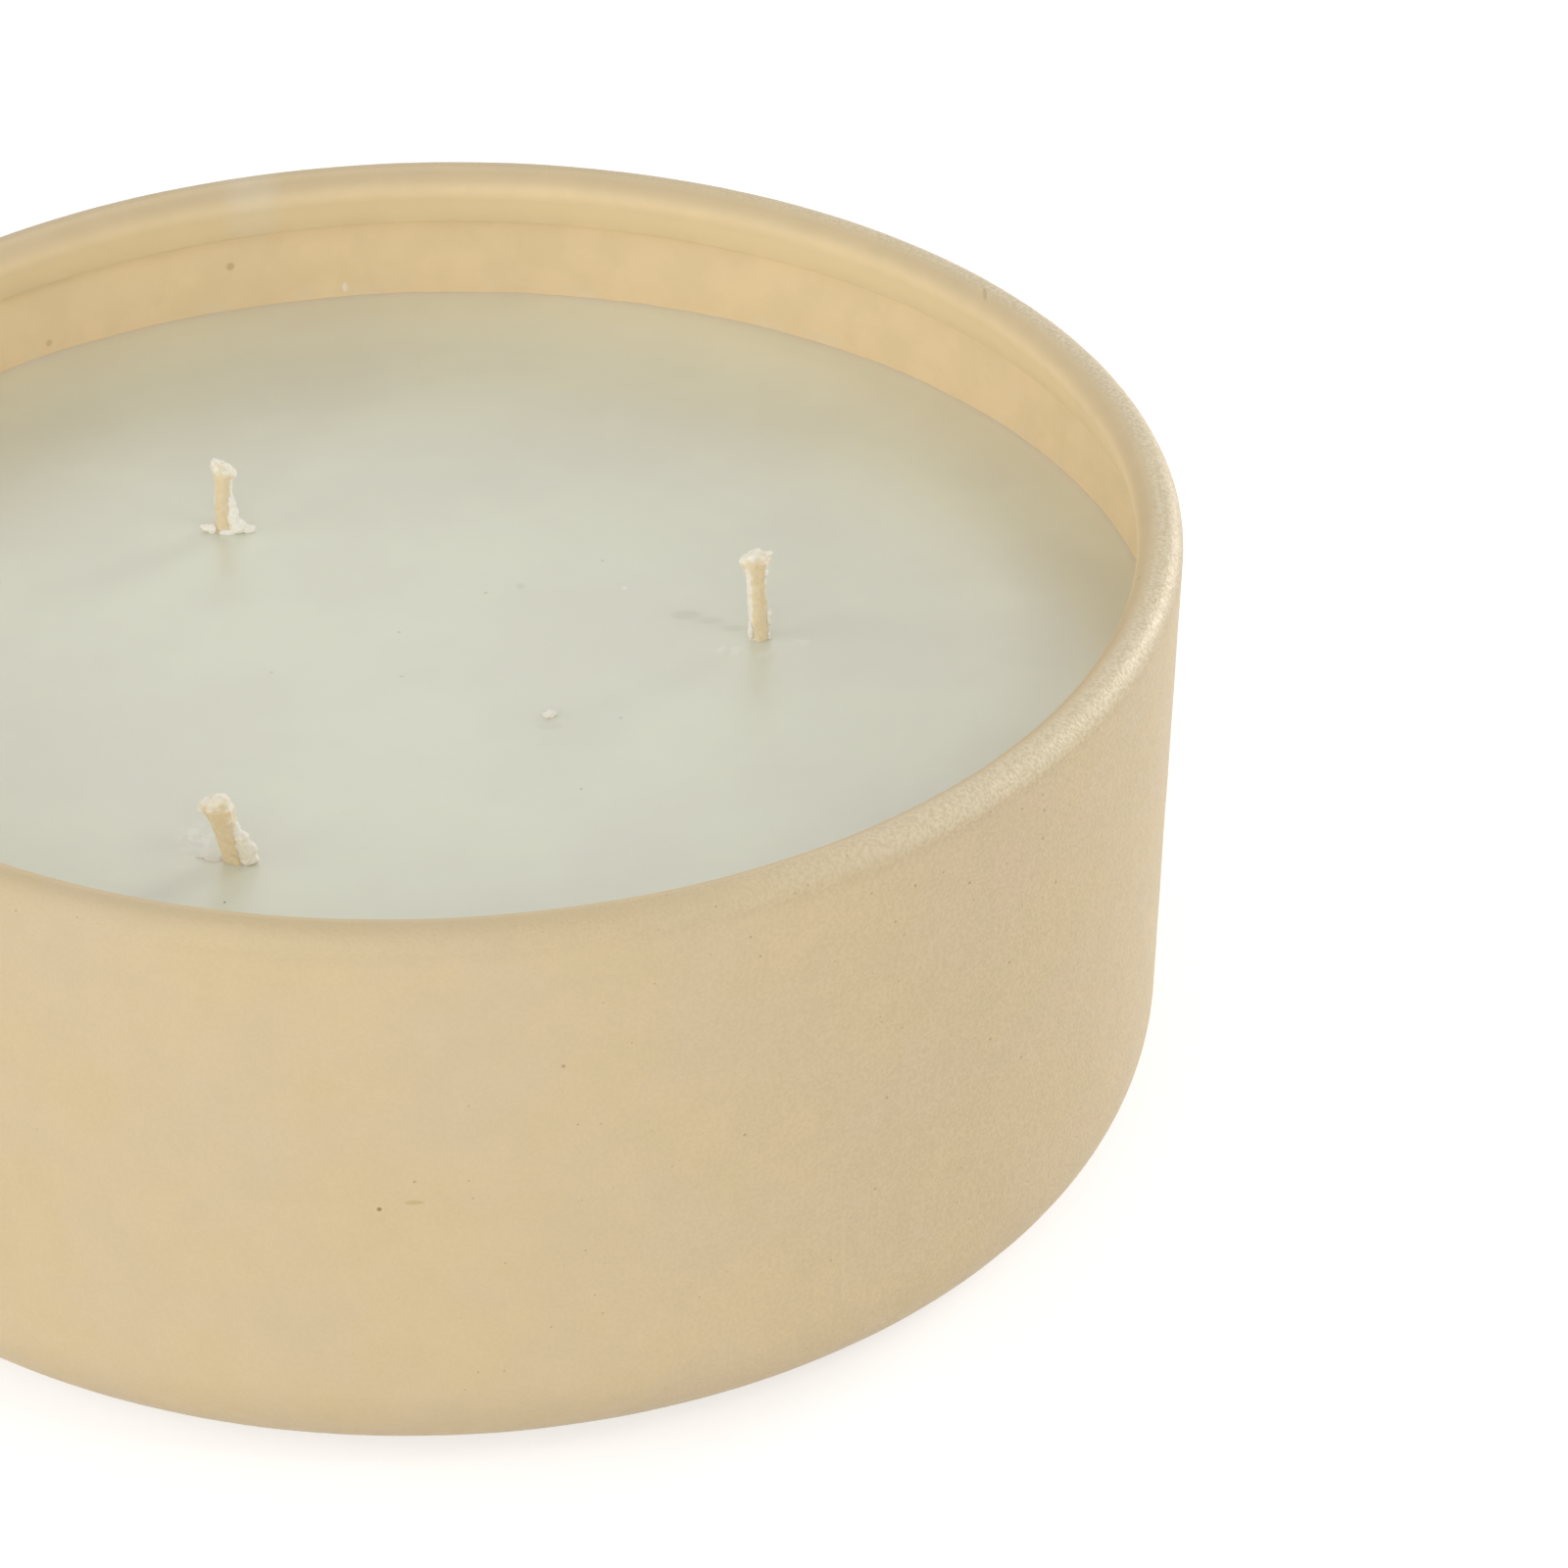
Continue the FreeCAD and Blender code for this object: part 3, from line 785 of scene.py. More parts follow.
def rim_painted_light_and_shade(tree, paint, places):
    """Lighter on the hem's inner face, a painted light, and darker along the top of the bead, a
    painted shade.
    """
    hem_middle, hem_reach = 60 * MM, 2.8 * MM
    off_middle = calc(tree, "ABSOLUTE", calc(tree, "SUBTRACT", places.height, hem_middle))
    # Lighter hem face inside the rim: painted light.
    hem = times(tree, fade(tree, off_middle, 0, hem_reach, 0.7, 0), places.inside)
    paint = mix_colour(tree, hem, paint, (0.90, 0.72, 0.45, 1))
    # Darker top of the bead, strongest left of the middle and fading to the right, and darker
    # inner top: painted shade.
    top = times(tree, places.crown, fade(tree, places.across, 10 * MM, 50 * MM, 0.33, 0.03))
    inner_top = fade(tree, places.height, 61.8 * MM, 63.3 * MM, 0.0, 0.6)
    inner_top = times(tree, inner_top, places.inside)
    return mix_colour(tree, calc(tree, "MAXIMUM", top, inner_top), paint, (0.54, 0.43, 0.26, 1))


def pale_film(tree, vector, places, wax_top):
    """Mask of the wax film just over the wax, and of the rubbed patch at the back of the rim."""
    film = placed(tree, "Grain", Vector=vector, Size=2.2 * MM, Detail=3.0)
    over_wax = fade(tree, places.height, wax_top + 0.3 * MM, wax_top + 2.2 * MM, 1.0, 0.0)
    film = times(tree, times(tree, fade(tree, film, 0.5, 0.62), over_wax), places.inside)
    rubbed = placed(
        tree, "Spot", Vector=vector, Place=(-16.5 * MM, 71 * MM, 61.5 * MM),
        Stretch=(1.0, 1.6, 1.3), Reach=4.4 * MM,
    )
    inner_side = fade(tree, axis_distance(tree, vector), 73.4 * MM, 74.4 * MM, 1.0, 0.0)
    rubbed = times(tree, rubbed, inner_side)
    return calc(tree, "MAXIMUM", times(tree, film, 0.22), times(tree, rubbed, 0.25))


def painted_metal(bowl, wax_top):
    """Satin champagne paint: grained and pinholed outside, smooth inside."""
    material, tree, shader, vector = new_material("champagne_paint")
    places = PaintPlaces(tree, vector)
    pits = pinholes(tree, vector, places)
    pale = pale_film(tree, vector, places, wax_top)

    paint = drifting_paint(tree, vector, bowl, places)
    pit_tone = times(tree, pits, fade(tree, places.across, 20 * MM, 60 * MM, 0.5, 0.8))
    paint = mix_colour(tree, pit_tone, paint, tuple(bowl.pit_colour))
    # Speckles, and a painted highlight on the right of the rim.
    paint = speckled_paint(tree, vector, paint, places)
    paint = marked(tree, vector, paint, BOWL_MARKS)
    # Painted light on the hem's inner face, painted shade along the top of the bead.
    paint = rim_painted_light_and_shade(tree, paint, places)
    paint = mix_colour(tree, pale, paint, (0.76, 0.70, 0.58, 1))
    tree.links.new(paint, shader.inputs["Base Color"])

    bare = calc(tree, "SUBTRACT", 1.0, calc(tree, "MAXIMUM", pale, times(tree, places.bead, 0.8)))
    tree.links.new(times(tree, bare, bowl.metalness), shader.inputs["Metallic"])

    coarse = placed(tree, "Grain", Vector=vector, Size=1.6 * MM, Detail=2.0)
    satin = fade(tree, coarse, 0.3, 0.7, bowl.roughness - 0.04, bowl.roughness + 0.04)
    satin = calc(tree, "ADD", satin, times(tree, places.inside, 0.12))
    tree.links.new(satin, shader.inputs["Roughness"])

    grain = placed(tree, "Grain", Vector=vector, Size=0.3 * MM, Detail=1.0)
    depth = times(tree, places.outside, fade(tree, places.across, 0, 70 * MM, 0.3, 1.4))
    depth = calc(tree, "MAXIMUM", depth, times(tree, places.bead, 1.7))
    relief = times(tree, grain, calc(tree, "MAXIMUM", depth, 0.05))
    relief = calc(tree, "ADD", relief, times(tree, coarse, 0.1))
    relief = calc(tree, "SUBTRACT", relief, times(tree, pits, 0.4))
    bump(tree, shader, relief, 0.05 * MM)
    shader.inputs["IOR"].default_value = 1.4
    shader.inputs["Specular IOR Level"].default_value = 0.3
    return material


def wax_material(wax, name, body, roughness, depth, marks=()):
    """Soft, slightly shining wax with faint rings and a fine skin."""
    material, tree, shader, vector = new_material(name)
    from_axis = axis_distance(tree, vector)
    rings = add_node(
        tree, "ShaderNodeTexNoise", {"W": from_axis, "Scale": 190.0, "Detail": 2.0},
        noise_dimensions="1D",
    ).outputs[0]
    tone = placed(
        tree, "Mottle", Vector=vector, Colour=body, Tint=(0.62, 0.59, 0.50, 1), Size=18 * MM,
        Amount=0.25,
    )
    tone = mix_colour(tree, fade(tree, rings, 0.4, 0.65, 0.0, 0.1), tone, (0.70, 0.70, 0.60, 1))

    skin = placed(tree, "Grain", Vector=vector, Size=0.8 * MM, Detail=3.0)
    smeared = times(tree, share_of(tree, "smeared"), fade(tree, skin, 0.4, 0.6))
    smeared = fade(tree, smeared, 0.05, 0.6, 0.0, 0.3)
    tone = mix_colour(tree, smeared, tone, tuple(wax.crumb_colour))
    # Tan in the strip next to the bowl's side: a painted reflection of the side in the wax's edge.
    by_the_side = fade(tree, from_axis, 71 * MM, 73.5 * MM, 0.0, 0.5)
    tone = mix_colour(tree, by_the_side, tone, (0.76, 0.65, 0.48, 1))
    tone = marked(tree, vector, tone, marks)
    tree.links.new(tone, shader.inputs["Base Color"])

    swell = placed(tree, "Grain", Vector=vector, Size=7 * MM, Detail=2.0)
    bump(tree, shader, calc(tree, "ADD", times(tree, skin, 0.12), swell), depth)
    satin = fade(tree, swell, 0.3, 0.7, roughness - 0.03, roughness + 0.04)
    tree.links.new(satin, shader.inputs["Roughness"])
    shader.inputs["IOR"].default_value = 1.5
    shader.inputs["Subsurface Weight"].default_value = 0.35
    shader.inputs["Subsurface Radius"].default_value = (1.0, 0.9, 0.6)
    shader.inputs["Subsurface Scale"].default_value = 2.0 * MM
    return material


def cotton_material(wicks):
    """Waxed cotton: tan where the wax has soaked in, white at the cut and on the loose yarns, and
    whiter along its sides and edges by painted sheen.
    """
    material, tree, shader, vector = new_material("waxed_cotton")
    lumps = placed(tree, "Grain", Vector=vector, Size=0.6 * MM, Detail=3.0)
    uneven = fade(tree, lumps, 0.3, 0.7, -0.35, 0.35)
    # Loose cotton at the cut, and the pale blobs along the sides, which are partly painted sheen.
    loose = calc(tree, "ADD", share_of(tree, "loose"), uneven)
    # Whiter where the surface is seen edge-on: painted sheen of the cotton's fuzz.
    facing = add_node(tree, "ShaderNodeLayerWeight", {"Blend": 0.5}).outputs["Facing"]
    edge = fade(tree, calc(tree, "ADD", facing, times(tree, uneven, 0.4)), 0.55, 1.0)
    white = calc(tree, "MAXIMUM", fade(tree, loose, 0.2, 0.95), times(tree, edge, 0.4))
    tone = mix_colour(tree, white, tuple(wicks.body_colour), tuple(wicks.tip_colour))
    tone = placed(
        tree, "Mottle", Vector=vector, Colour=tone, Tint=(0.83, 0.76, 0.56, 1), Size=0.9 * MM,
        Amount=0.35,
    )
    tree.links.new(tone, shader.inputs["Base Color"])
    fibres = placed(tree, "Grain", Vector=vector, Size=0.14 * MM, Detail=2.0)
    bump(tree, shader, fibres, 0.03 * MM)
    tree.links.new(fade(tree, white, 0.0, 1.0, 0.6, 0.9), shader.inputs["Roughness"])
    shader.inputs["Sheen Weight"].default_value = 0.6
    shader.inputs["Sheen Roughness"].default_value = 0.5
    shader.inputs["Subsurface Weight"].default_value = 0.3
    shader.inputs["Subsurface Radius"].default_value = (1.0, 0.8, 0.5)
    shader.inputs["Subsurface Scale"].default_value = 0.5 * MM
    return material


def tinned_steel():
    """Stamped tab: bright tin with rolling lines."""
    material, tree, shader, vector = new_material("tinned_steel")
    turned = add_node(
        tree, "ShaderNodeMapping", {"Vector": vector, "Scale": (1.0, 14.0, 1.0)}
    ).outputs[0]
    lines = placed(tree, "Grain", Vector=turned, Size=1.5 * MM, Detail=3.0)
    tone = placed(
        tree, "Mottle", Vector=vector, Colour=(0.62, 0.62, 0.60, 1), Tint=(0.50, 0.50, 0.49, 1),
        Size=4 * MM, Amount=0.4,
    )
    tree.links.new(tone, shader.inputs["Base Color"])
    tree.links.new(fade(tree, lines, 0.3, 0.7, 0.3, 0.42), shader.inputs["Roughness"])
    shader.inputs["Metallic"].default_value = 1.0
    bump(tree, shader, lines, 0.01 * MM)
    return material


def adhesive_foam():
    """Pad under a tab: pale foam with small cells."""
    material, tree, shader, vector = new_material("adhesive_foam")
    cells = placed(tree, "Pits", Vector=vector, Spacing=0.5 * MM, Radius=0.16 * MM)
    tone = placed(
        tree, "Mottle", Vector=vector, Colour=(0.85, 0.84, 0.80, 1), Tint=(0.74, 0.72, 0.66, 1),
        Size=3 * MM, Amount=0.4,
    )
    tone = mix_colour(tree, times(tree, cells, 0.5), tone, (0.55, 0.53, 0.48, 1))
    tree.links.new(tone, shader.inputs["Base Color"])
    shader.inputs["Roughness"].default_value = 0.8
    bump(tree, shader, calc(tree, "SUBTRACT", 1.0, cells), 0.05 * MM)
    return material


class CANDLE_OT_bowl(bpy.types.Operator):
    """Turn the bowl from its section, with its rolled rim, and paint it"""

    bl_idname = "candle.bowl"
    bl_label = "Make Bowl"

    def execute(self, context):
        bowl = context.scene.candle_bowl
        section = BowlShape(bowl).section()
        piece = turn_section("painted_bowl", section, bowl.steps, mark="outside")
        apply_modifier(
            piece, "DISPLACE",
            texture=cloud_texture("spun_surface", bowl.unevenness_size),
            texture_coords="LOCAL", mid_level=1.0, strength=bowl.unevenness,
        )
        smooth(piece, 40)
        settle(piece)
        material = painted_metal(bowl, context.scene.candle_wax.top)
        dress(piece, material, "gold_metal", "vessel")
        return {"FINISHED"}


def wax_section(shape, wax):
    """The wax's outline from the middle of its underside to the middle of its surface."""
    bowl = shape.bowl
    inner = bowl.corner_radius - bowl.gauge
    corner_centre = (shape.corner[0] - wax.side_gap, shape.corner[1])
    corner = arc_points(corner_centre, inner, -math.pi / 2, -shape.slope, 10)
    shoulder_height = wax.top - wax.edge_width
    shoulder = (shape.side(shoulder_height, wax.side_gap), shoulder_height)
    edge_top = wax.top + wax.edge_rise
    edge = (shape.side(edge_top, -wax.side_gap), edge_top)
    points = [(0.0, bowl.gauge)] + line_points((0.0, bowl.gauge), corner[0], 6)[:-1]
    points += corner + line_points(corner[-1], shoulder, 8) + line_points(shoulder, edge, 3)
    surface_edge = edge[0] - wax.edge_width
    for index in range(1, 9):
        part = index / 8
        climb = wax.edge_rise * (1 - part) ** 2.4
        points.append((edge[0] - wax.edge_width * part, wax.top + climb))
    rings = round(surface_edge / wax.ring_width)
    points += line_points((surface_edge, wax.top), (0.0, wax.top), rings)
    return points


def cavity_section(top, foot):
    """The room that a wick, its tab and its pad take up in the wax, from the floor up."""
    gap = 0.05 * MM
    tab_low, tab_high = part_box("wick_tab_right")
    tab_radius = (tab_high.x - tab_low.x) / 2 + gap
    pad_low, pad_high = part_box("wick_pad_right")
    pad_radius = (pad_high.x - pad_low.x) / 2 + gap
    pad_top = pad_high.z
    tab_gauge = 0.4 * MM
    disc_top = pad_top + tab_gauge + gap
    neck_radius = 1.65 * MM
    neck_top = tab_high.z + gap
    root = 0.8 * MM
    bore = 1.2 * MM
    below_foot = foot - 0.5 * MM
    return [
        (0.0, below_foot),
        (pad_radius, below_foot),
        (pad_radius, pad_top),
        (tab_radius, pad_top),
        (tab_radius, disc_top),
        (neck_radius + root, disc_top),
        (neck_radius, disc_top + root),
        (neck_radius, neck_top),
        (bore, neck_top),
        (bore, top),
        (0.0, top),
    ]


def smear_weight(point):
    """How rough the wax is at a point: one in the middle of a smear, nothing at its edge."""
    best = -1.0
    for wick, smears in SMEARS.items():
        foot = FEET[wick]
        for centre, half in smears:
            across = (point.x - foot.x - centre[0] * MM) / (half[0] * MM)
            along = (point.y - foot.y - centre[1] * MM) / (half[1] * MM)
            best = max(best, 1.0 - math.hypot(across, along))
    return best


def weigh(piece, name, weight_of):
    """A vertex group whose weights come from each vertex's place."""
    group = piece.vertex_groups.new(name=name)
    for vertex in piece.data.vertices:
        weight = weight_of(vertex.co)
        if weight > 0:
            group.add([vertex.index], min(1.0, weight), "REPLACE")
    return group


def select_faces(piece, wanted):
    """Selects the faces that a test picks, in edit mode."""
    edit_all("FACE")
    bpy.ops.mesh.select_all(action="DESELECT")
    end_edit()
    for face in piece.data.polygons:
        face.select = bool(wanted(face))
    bpy.ops.object.mode_set(mode="EDIT")


def cut_rooms(piece, top, foot):
    """Takes the room of each wick, tab and pad out of the wax."""
    section = cavity_section(top, foot)
    rooms = []
    for wick, place in FEET.items():
        room = turn_section("room_" + wick, section, 48)
        room.location = (place.x, place.y, 0)
        rooms.append(settle(room))
    cutter = join_pieces(rooms)
    apply_modifier(piece, "BOOLEAN", object=cutter, operation="DIFFERENCE", solver="EXACT")
    bpy.data.objects.remove(cutter)


def push_up(piece, name, size, strength, mid_level, weight_of):
    """Pushes the surface up and down by a soft pattern, as far as each point's weight says."""
    group = weigh(piece, name, weight_of)
    apply_modifier(
        piece, "DISPLACE", texture=cloud_texture(name, size, 3), texture_coords="LOCAL",
        vertex_group=group.name, direction="Z", mid_level=mid_level, strength=strength,
    )


class CANDLE_OT_wax(bpy.types.Operator):
    """Pour the wax, with its climbing edge, the rooms of its wicks and the marks of its surface"""

    bl_idname = "candle.wax"
    bl_label = "Pour Wax"

    def execute(self, context):
        bowl = context.scene.candle_bowl
        wax = context.scene.candle_wax
        shape = BowlShape(bowl)
        piece = turn_section("poured_wax", wax_section(shape, wax), wax.steps)
        cut_rooms(piece, wax.top - wax.skin, bowl.gauge)

        surface = wax.top - 0.1 * MM

        def smear_at(point):
            return max(0.0, smear_weight(point)) if point.z > surface else 0.0

        def edge_at(point):
            inner = shape.side(wax.top) - wax.broken_width
            return (math.hypot(point.x, point.y) - inner) / MM if point.z > wax.top else 0.0

        for _ in range(2):
            select_faces(
                piece, lambda face: face.center.z > surface and smear_weight(face.center) > -0.1
            )
            bpy.ops.mesh.subdivide(number_cuts=1)
            end_edit()
        push_up(piece, "smeared_wax", wax.ripple_size, wax.ripple, 0.4, smear_at)
        push_up(piece, "broken_edge", wax.broken_size, wax.broken_height, 0.5, edge_at)
        mark_points(piece, "smeared", smear_at)
        smooth(piece, 45)
        settle(piece)
        body = tuple(wax.body_colour)
        relief = 0.004 * MM
        marks = [((*place, wax.top / MM), *rest) for place, *rest in WAX_MARKS]
        material = wax_material(wax, "poured_wax", body, wax.roughness, relief, marks)
        shader = material.node_tree.nodes["Principled BSDF"]
        shader.inputs["Coat Weight"].default_value = 1.0
        shader.inputs["Coat Roughness"].default_value = 0.33
        shader.inputs["Coat IOR"].default_value = 1.65
        dress(piece, material, "wax", "wax_fill")
        return {"FINISHED"}


def route(form, rise, height):
    """Sideways offset of a wick's axis at a height over the wax."""
    part = max(0.0, height / rise) ** 1.2
    return Vector((form["lean"][0] * part * MM, form["lean"][1] * part * MM, 0.0))


def twist_strands(wick, form, wicks, place):
    """Twisted yarns from under the wax to the opened end, one tube each."""
    clear_selection()
    start = place - Vector((0, 0, wicks.buried))
    reach = wicks.strand_reach * form["width"]
    for index in range(wicks.strands):
        angle = 2 * math.pi * index / wicks.strands
        around = Vector((math.cos(angle) * reach, math.sin(angle) * reach, 0))
        bpy.ops.mesh.primitive_circle_add(
            vertices=10, radius=wicks.strand_radius * form["width"], fill_type="NGON",
            location=start + around,
        )
        if index == 0:
            piece = named(bpy.context.object, "wick_yarns_" + wick)
            bpy.ops.object.mode_set(mode="EDIT")
            bpy.ops.mesh.select_mode(type="FACE")
    bpy.ops.mesh.select_all(action="SELECT")

    centre = start
    shape_x, shape_y = 1.0, 1.0
    stem = form["stem"] * MM
    rings = round((stem + wicks.buried) / wicks.ring_step)
    turn = 2 * math.pi * wicks.ring_step / wicks.twist_pitch
    for ring in range(1, rings + 1):
        above = -wicks.buried + (stem + wicks.buried) * ring / rings
        target = place + Vector((0, 0, above)) + route(form, stem, above)
        bpy.ops.mesh.extrude_region_move(TRANSFORM_OT_translate={"value": target - centre})
        centre = target
        opened = max(0.0, (above - (stem - wicks.flare_height)) / wicks.flare_height)
        new_x = 1 + (form["flare"][0] - 1) * opened ** 1.5
        new_y = 1 + (form["flare"][1] - 1) * opened ** 1.5
        if opened == 0:
            bpy.ops.transform.rotate(value=turn, orient_axis="Z", center_override=centre)
        bpy.ops.transform.resize(
            value=(new_x / shape_x, new_y / shape_y, 1), center_override=centre
        )
        shape_x, shape_y = new_x, new_y
    end_edit()
    return settle(piece)


def blob_share(point, place, blobs):
    """How deep a point lies in the blobs of a place: one well inside, nothing well outside."""
    best = 0.0
    for centre, half in blobs:
        apart = (point - place) / MM - Vector(centre)
        away = math.hypot(apart.x / half[0], apart.y / half[1], apart.z / half[2])
        best = max(best, 1.75 - away)
    return min(1.0, best)


def mark_points(piece, name, share_at):
    """A number at each of the piece's points, from the point's place."""
    attribute = piece.data.attributes.new(name, "FLOAT", "POINT")
    attribute.data.foreach_set("value", [share_at(vertex.co) for vertex in piece.data.vertices])


def melt_blob(place, centre, half):
    """One lump from a ball stretched to its half sizes."""
    clear_selection()
    location = place + Vector(centre) * MM
    bpy.ops.mesh.primitive_ico_sphere_add(subdivisions=4, radius=MM, location=location)
    blob = bpy.context.object
    edit_all()
    bpy.ops.transform.resize(value=half, center_override=location)
    end_edit()
    return blob


def fuse(piece, detail, rounds, bumps, mid_level):
    """Makes one lumpy skin of overlapping forms. A bump is a pattern's size and its height."""
    apply_modifier(piece, "REMESH", mode="VOXEL", voxel_size=detail)
    apply_modifier(piece, "SMOOTH", factor=0.5, iterations=rounds)
    for size, strength in bumps:
        apply_modifier(
            piece, "DISPLACE", texture=cloud_texture(piece.name, size), texture_coords="LOCAL",
            mid_level=mid_level, strength=strength,
        )


def buried_stem(wick, top):
    """The plain part of a wick inside the wax, as thick and as deep as its solid."""
    low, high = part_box("wick_" + wick)
    foot = FEET[wick]
    clear_selection()
    bpy.ops.mesh.primitive_cylinder_add(
        vertices=32, radius=(high.y - low.y) / 2, depth=top - low.z,
        location=(foot.x, foot.y, (top + low.z) / 2),
    )
    edit_all("FACE")
    bpy.ops.mesh.inset(thickness=0.15 * MM)
    end_edit()
    return bpy.context.object


class CANDLE_OT_wicks(bpy.types.Operator):
    """Twist each wick from its yarns, open its end, and set it in its tab"""

    bl_idname = "candle.wicks"
    bl_label = "Make Wicks"

    def execute(self, context):
        wicks = context.scene.candle_wicks
        wax_top = context.scene.candle_wax.top
        stem_top = wax_top - wicks.buried * 0.7
        bumps = ((0.9 * MM, 0.2 * MM), (0.28 * MM, 0.11 * MM))
        material = cotton_material(wicks)
        for wick, form in WICKS.items():
            place = Vector((FEET[wick].x, FEET[wick].y, wax_top))
            yarns = twist_strands(wick, form, wicks, place)
            loose = [melt_blob(place, centre, half) for centre, half in form["tip"]]
            piece = settle(join_pieces([yarns] + loose))
            fuse(piece, wicks.detail, 12, bumps, 0.55)
            # White at the cut, and along the sides where the pale blobs are partly painted sheen.
            white = form["tip"] + form["pale"]
            mark_points(piece, "loose", lambda co: blob_share(co, place, white))
            piece = join_pieces([piece, buried_stem(wick, stem_top)])
            smooth(named(piece, "cotton_wick_" + wick), 60)
            settle(piece)
            dress(piece, material, "wick_cotton", "wick_" + wick)
        return {"FINISHED"}


class CANDLE_OT_drips(bpy.types.Operator):
    """Lay the broken and dried wax at the foot of each wick, and the crumb on the surface"""

    bl_idname = "candle.drips"
    bl_label = "Make Wax Lumps"

    def execute(self, context):
        wax = context.scene.candle_wax
        crumb = Vector((CRUMB_PLACE[0] * MM, CRUMB_PLACE[1] * MM, wax.top))
        groups = {
            "wax_lumps_" + wick: (Vector((FEET[wick].x, FEET[wick].y, wax.top)), form["wax"])
            for wick, form in WICKS.items()
        }
        groups["wax_crumb"] = (crumb, CRUMB_BLOBS)
        bumps = ((0.8 * MM, 0.3 * MM), (0.3 * MM, 0.2 * MM))
        material = wax_material(wax, "dried_wax", tuple(wax.crumb_colour), 0.6, 0.02 * MM)
        shader = material.node_tree.nodes["Principled BSDF"]
        shader.inputs["Subsurface Radius"].default_value = (1.0, 0.97, 0.9)
        shader.inputs["Subsurface Scale"].default_value = 0.7 * MM
        for name, (place, blobs) in groups.items():
            parts = [melt_blob(place, centre, half) for centre, half in blobs]
            piece = settle(named(join_pieces(parts), name))
            fuse(piece, 0.07 * MM, 14, bumps, 0.45)
            smooth(piece, 60)
            dress(piece, material, "wax")
        return {"FINISHED"}


class CANDLE_OT_fittings(bpy.types.Operator):
    """Finish the tabs and pads that hold the wicks under the wax"""

    bl_idname = "candle.fittings"
    bl_label = "Finish Tabs and Pads"

    def execute(self, context):
        steel = tinned_steel()
        foam = adhesive_foam()
        for wick in WICKS:
            for node, material in (("wick_tab_" + wick, steel), ("wick_pad_" + wick, foam)):
                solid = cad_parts[node]
                solid.data.materials.clear()
                solid.data.materials.append(material)
        return {"FINISHED"}


def seen(tree):
    """One for camera, glossy and transmission rays, nothing for light that falls on the candle."""
    path = add_node(tree, "ShaderNodeLightPath").outputs
    first = calc(tree, "MAXIMUM", path["Is Camera Ray"], path["Is Glossy Ray"])
    return calc(tree, "MAXIMUM", first, path["Is Transmission Ray"])


def make_floor(stage):
    """A pale floor just under the foot, which looks white and keeps the candle's shadow."""
    under_foot = (0, 0, -0.02 * MM)
    clear_selection()
    bpy.ops.mesh.primitive_plane_add(size=stage.floor_size, location=under_foot)
    floor = settle(named(bpy.context.object, "studio_floor"))
    material = bpy.data.materials.new("pale_floor")
    material.use_nodes = True
    tree = material.node_tree
    tree.nodes.remove(tree.nodes["Principled BSDF"])
    pale = add_node(tree, "ShaderNodeBsdfDiffuse", {"Color": tuple(stage.floor_colour)})
    strength = times(tree, seen(tree), stage.floor_glow)
    glow = add_node(tree, "ShaderNodeEmission", {"Color": WHITE, "Strength": strength})
    both = add_node(tree, "ShaderNodeAddShader", {0: pale.outputs[0], 1: glow.outputs[0]})
    tree.links.new(both.outputs[0], tree.nodes["Material Output"].inputs["Surface"])
    floor.data.materials.append(material)


def make_world(stage):
    """Even light on the candle, and white where it is seen or mirrored."""
    world = bpy.data.worlds.new("even_sky")
    world.use_nodes = True
    tree = world.node_tree
    soft = tree.nodes["Background"]
    soft.inputs["Color"].default_value = WHITE
    soft.inputs["Strength"].default_value = stage.sky_strength
    white = add_node(tree, "ShaderNodeBackground", {"Color": WHITE, "Strength": 1.0})
    mixed = add_node(
        tree, "ShaderNodeMixShader", {0: seen(tree), 1: soft.outputs[0], 2: white.outputs[0]}
    )
    tree.links.new(mixed.outputs[0], tree.nodes["World Output"].inputs["Surface"])
    bpy.context.scene.world = world


def make_lamp(name, azimuth, elevation, distance, size, power, mirrored):
    """A soft box that points at the middle of the candle."""
    aim = Vector((0, 0, 0.04))
    turn, lift = math.radians(azimuth), math.radians(elevation)
    back = Vector(
        (math.cos(turn) * math.cos(lift), math.sin(turn) * math.cos(lift), math.sin(lift))
    )
    clear_selection()
    bpy.ops.object.light_add(
        type="AREA", location=aim + back * distance,
        rotation=back.to_track_quat("Z", "Y").to_euler(),
    )
    lamp = bpy.context.object
    lamp.name = name
    lamp.data.shape = "RECTANGLE"
    lamp.data.size, lamp.data.size_y = size
    lamp.data.energy = power
    lamp.visible_camera = False
    lamp.visible_glossy = mirrored


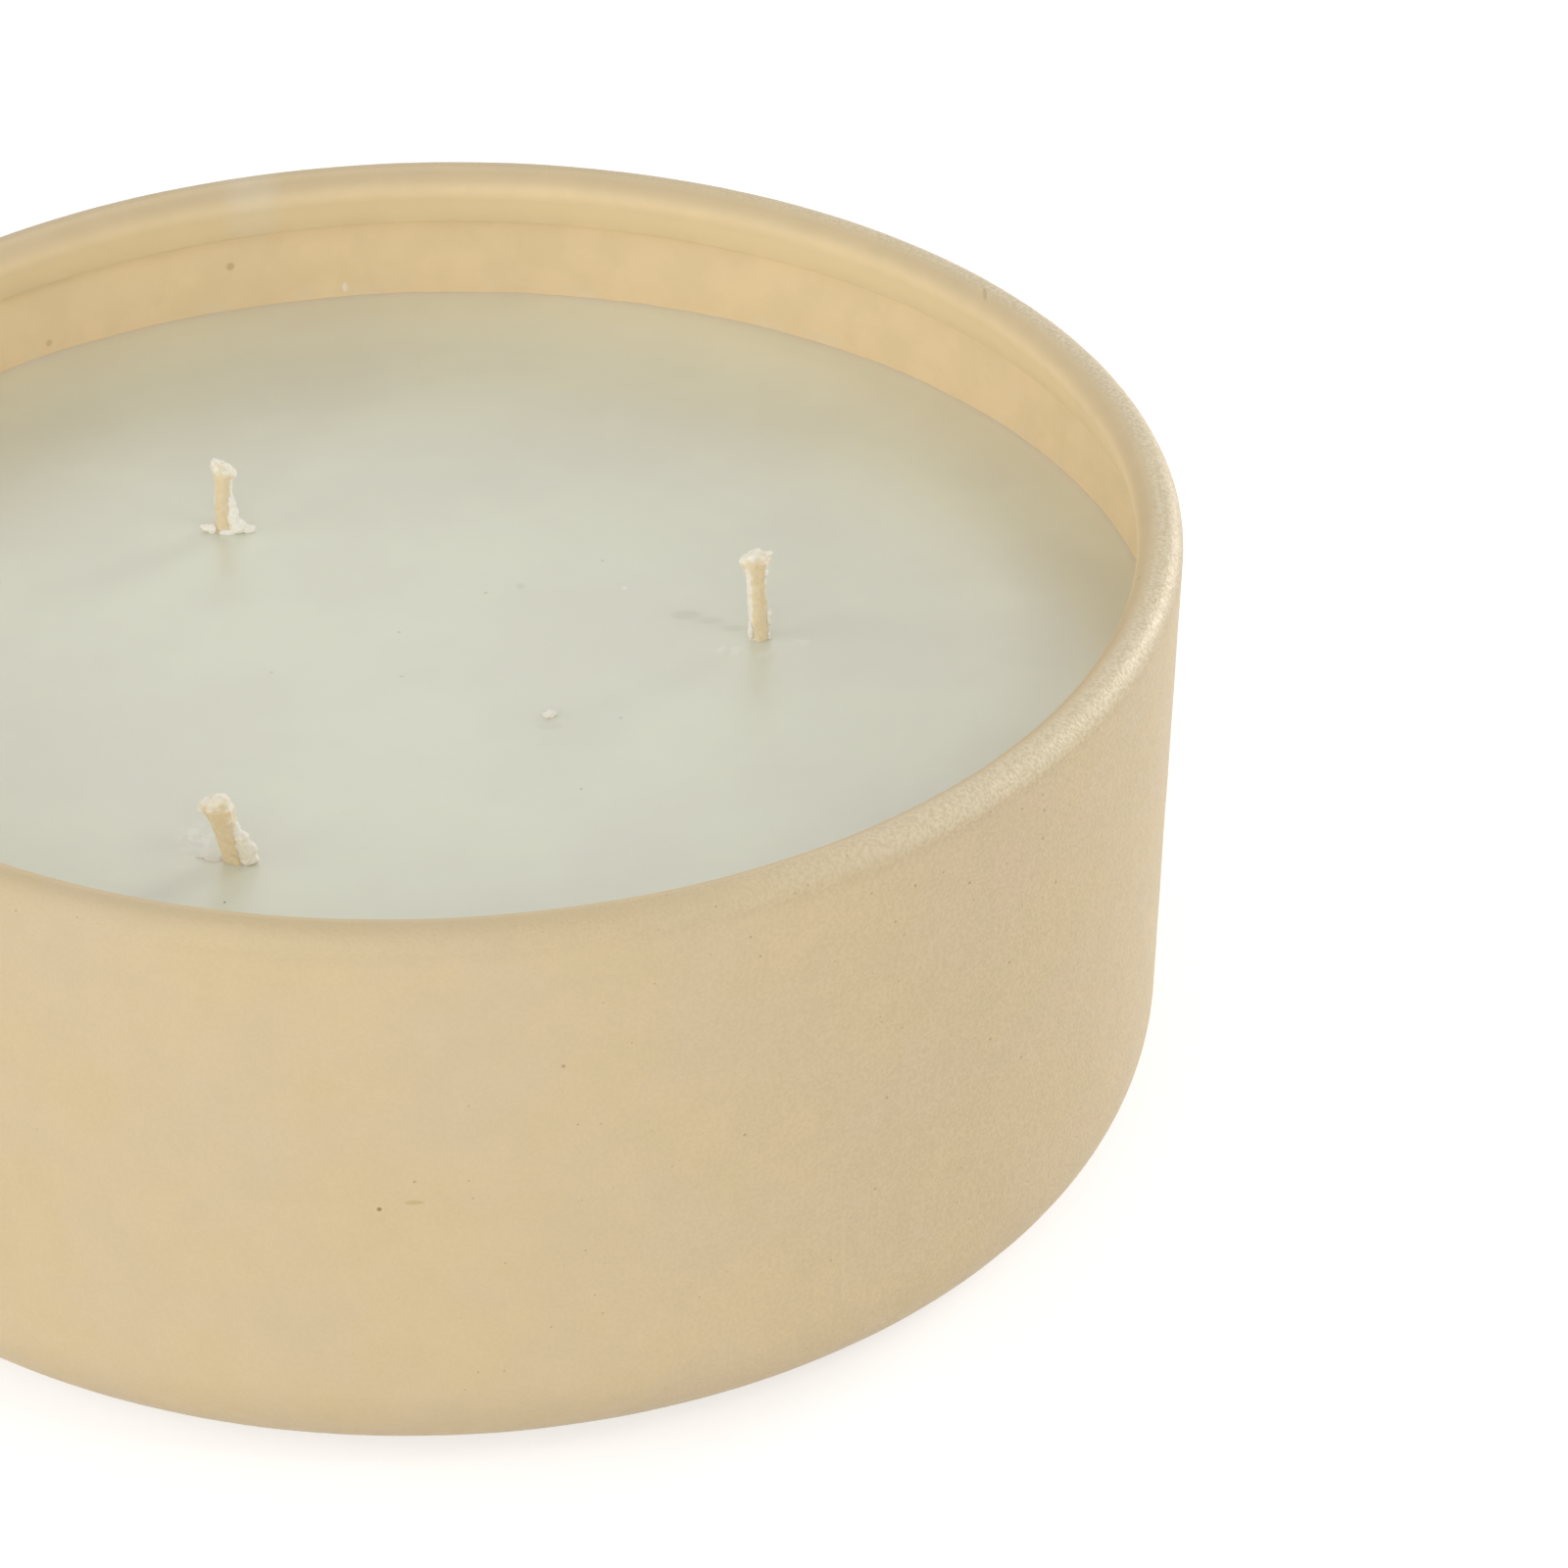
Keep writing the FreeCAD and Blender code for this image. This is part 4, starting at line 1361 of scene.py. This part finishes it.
def make_camera(stage):
    """The photograph's own viewpoint, with a narrow lens and a slight turn."""
    clear_selection()
    place, aim = Vector(stage.camera_place), Vector(stage.camera_aim)
    forward = (aim - place).normalized()
    level = forward.cross(Vector((0, 0, 1))).normalized()
    upright = level.cross(forward)
    right = level * math.cos(stage.camera_roll) + upright * math.sin(stage.camera_roll)
    up = right.cross(forward)
    turn = Matrix((right, up, -forward)).transposed()
    bpy.ops.object.camera_add(location=place, rotation=turn.to_euler())
    camera = bpy.context.object
    camera.name = "photo_camera"
    camera.data.lens = stage.lens
    camera.data.sensor_width = stage.sensor
    bpy.context.scene.camera = camera


class CANDLE_OT_stage(bpy.types.Operator):
    """Set up the floor, the sky, the soft boxes and the camera"""

    bl_idname = "candle.stage"
    bl_label = "Set Up Studio"

    def execute(self, context):
        stage = context.scene.candle_stage
        make_floor(stage)
        make_world(stage)
        for lamp in LAMPS:
            make_lamp(*lamp)
        make_camera(stage)
        context.scene.view_settings.view_transform = "Standard"
        return {"FINISHED"}


class CANDLE_PT_panel(bpy.types.Panel):
    """Lists what the candle is made of"""

    bl_label = "Bowl Candle"
    bl_idname = "CANDLE_PT_panel"
    bl_space_type = "VIEW_3D"
    bl_region_type = "UI"
    bl_category = "Candle"

    def draw(self, context):
        for group, operators in PANEL_ROWS:
            box = self.layout.box()
            settings = getattr(context.scene, group)
            for name in settings.__annotations__:
                box.prop(settings, name)
            for operator in operators:
                box.operator(operator)


PANEL_ROWS = (
    ("candle_bowl", ("candle.bowl",)),
    ("candle_wax", ("candle.wax", "candle.drips")),
    ("candle_wicks", ("candle.wicks", "candle.fittings")),
    ("candle_stage", ("candle.stage",)),
)

SETTINGS = {
    "candle_bowl": BowlSettings,
    "candle_wax": WaxSettings,
    "candle_wicks": WickSettings,
    "candle_stage": StageSettings,
}

CLASSES = (
    *SETTINGS.values(),
    CANDLE_OT_bowl,
    CANDLE_OT_wax,
    CANDLE_OT_wicks,
    CANDLE_OT_drips,
    CANDLE_OT_fittings,
    CANDLE_OT_stage,
    CANDLE_PT_panel,
)


def register():
    for cls in CLASSES:
        bpy.utils.register_class(cls)
    for name, group in SETTINGS.items():
        setattr(bpy.types.Scene, name, bpy.props.PointerProperty(type=group))


def unregister():
    for name in SETTINGS:
        delattr(bpy.types.Scene, name)
    for cls in reversed(CLASSES):
        bpy.utils.unregister_class(cls)


def main():
    register()
    bpy.ops.candle.bowl()
    bpy.ops.candle.wax()
    bpy.ops.candle.wicks()
    bpy.ops.candle.drips()
    bpy.ops.candle.fittings()
    bpy.ops.candle.stage()


if __name__ == "__main__":
    main()
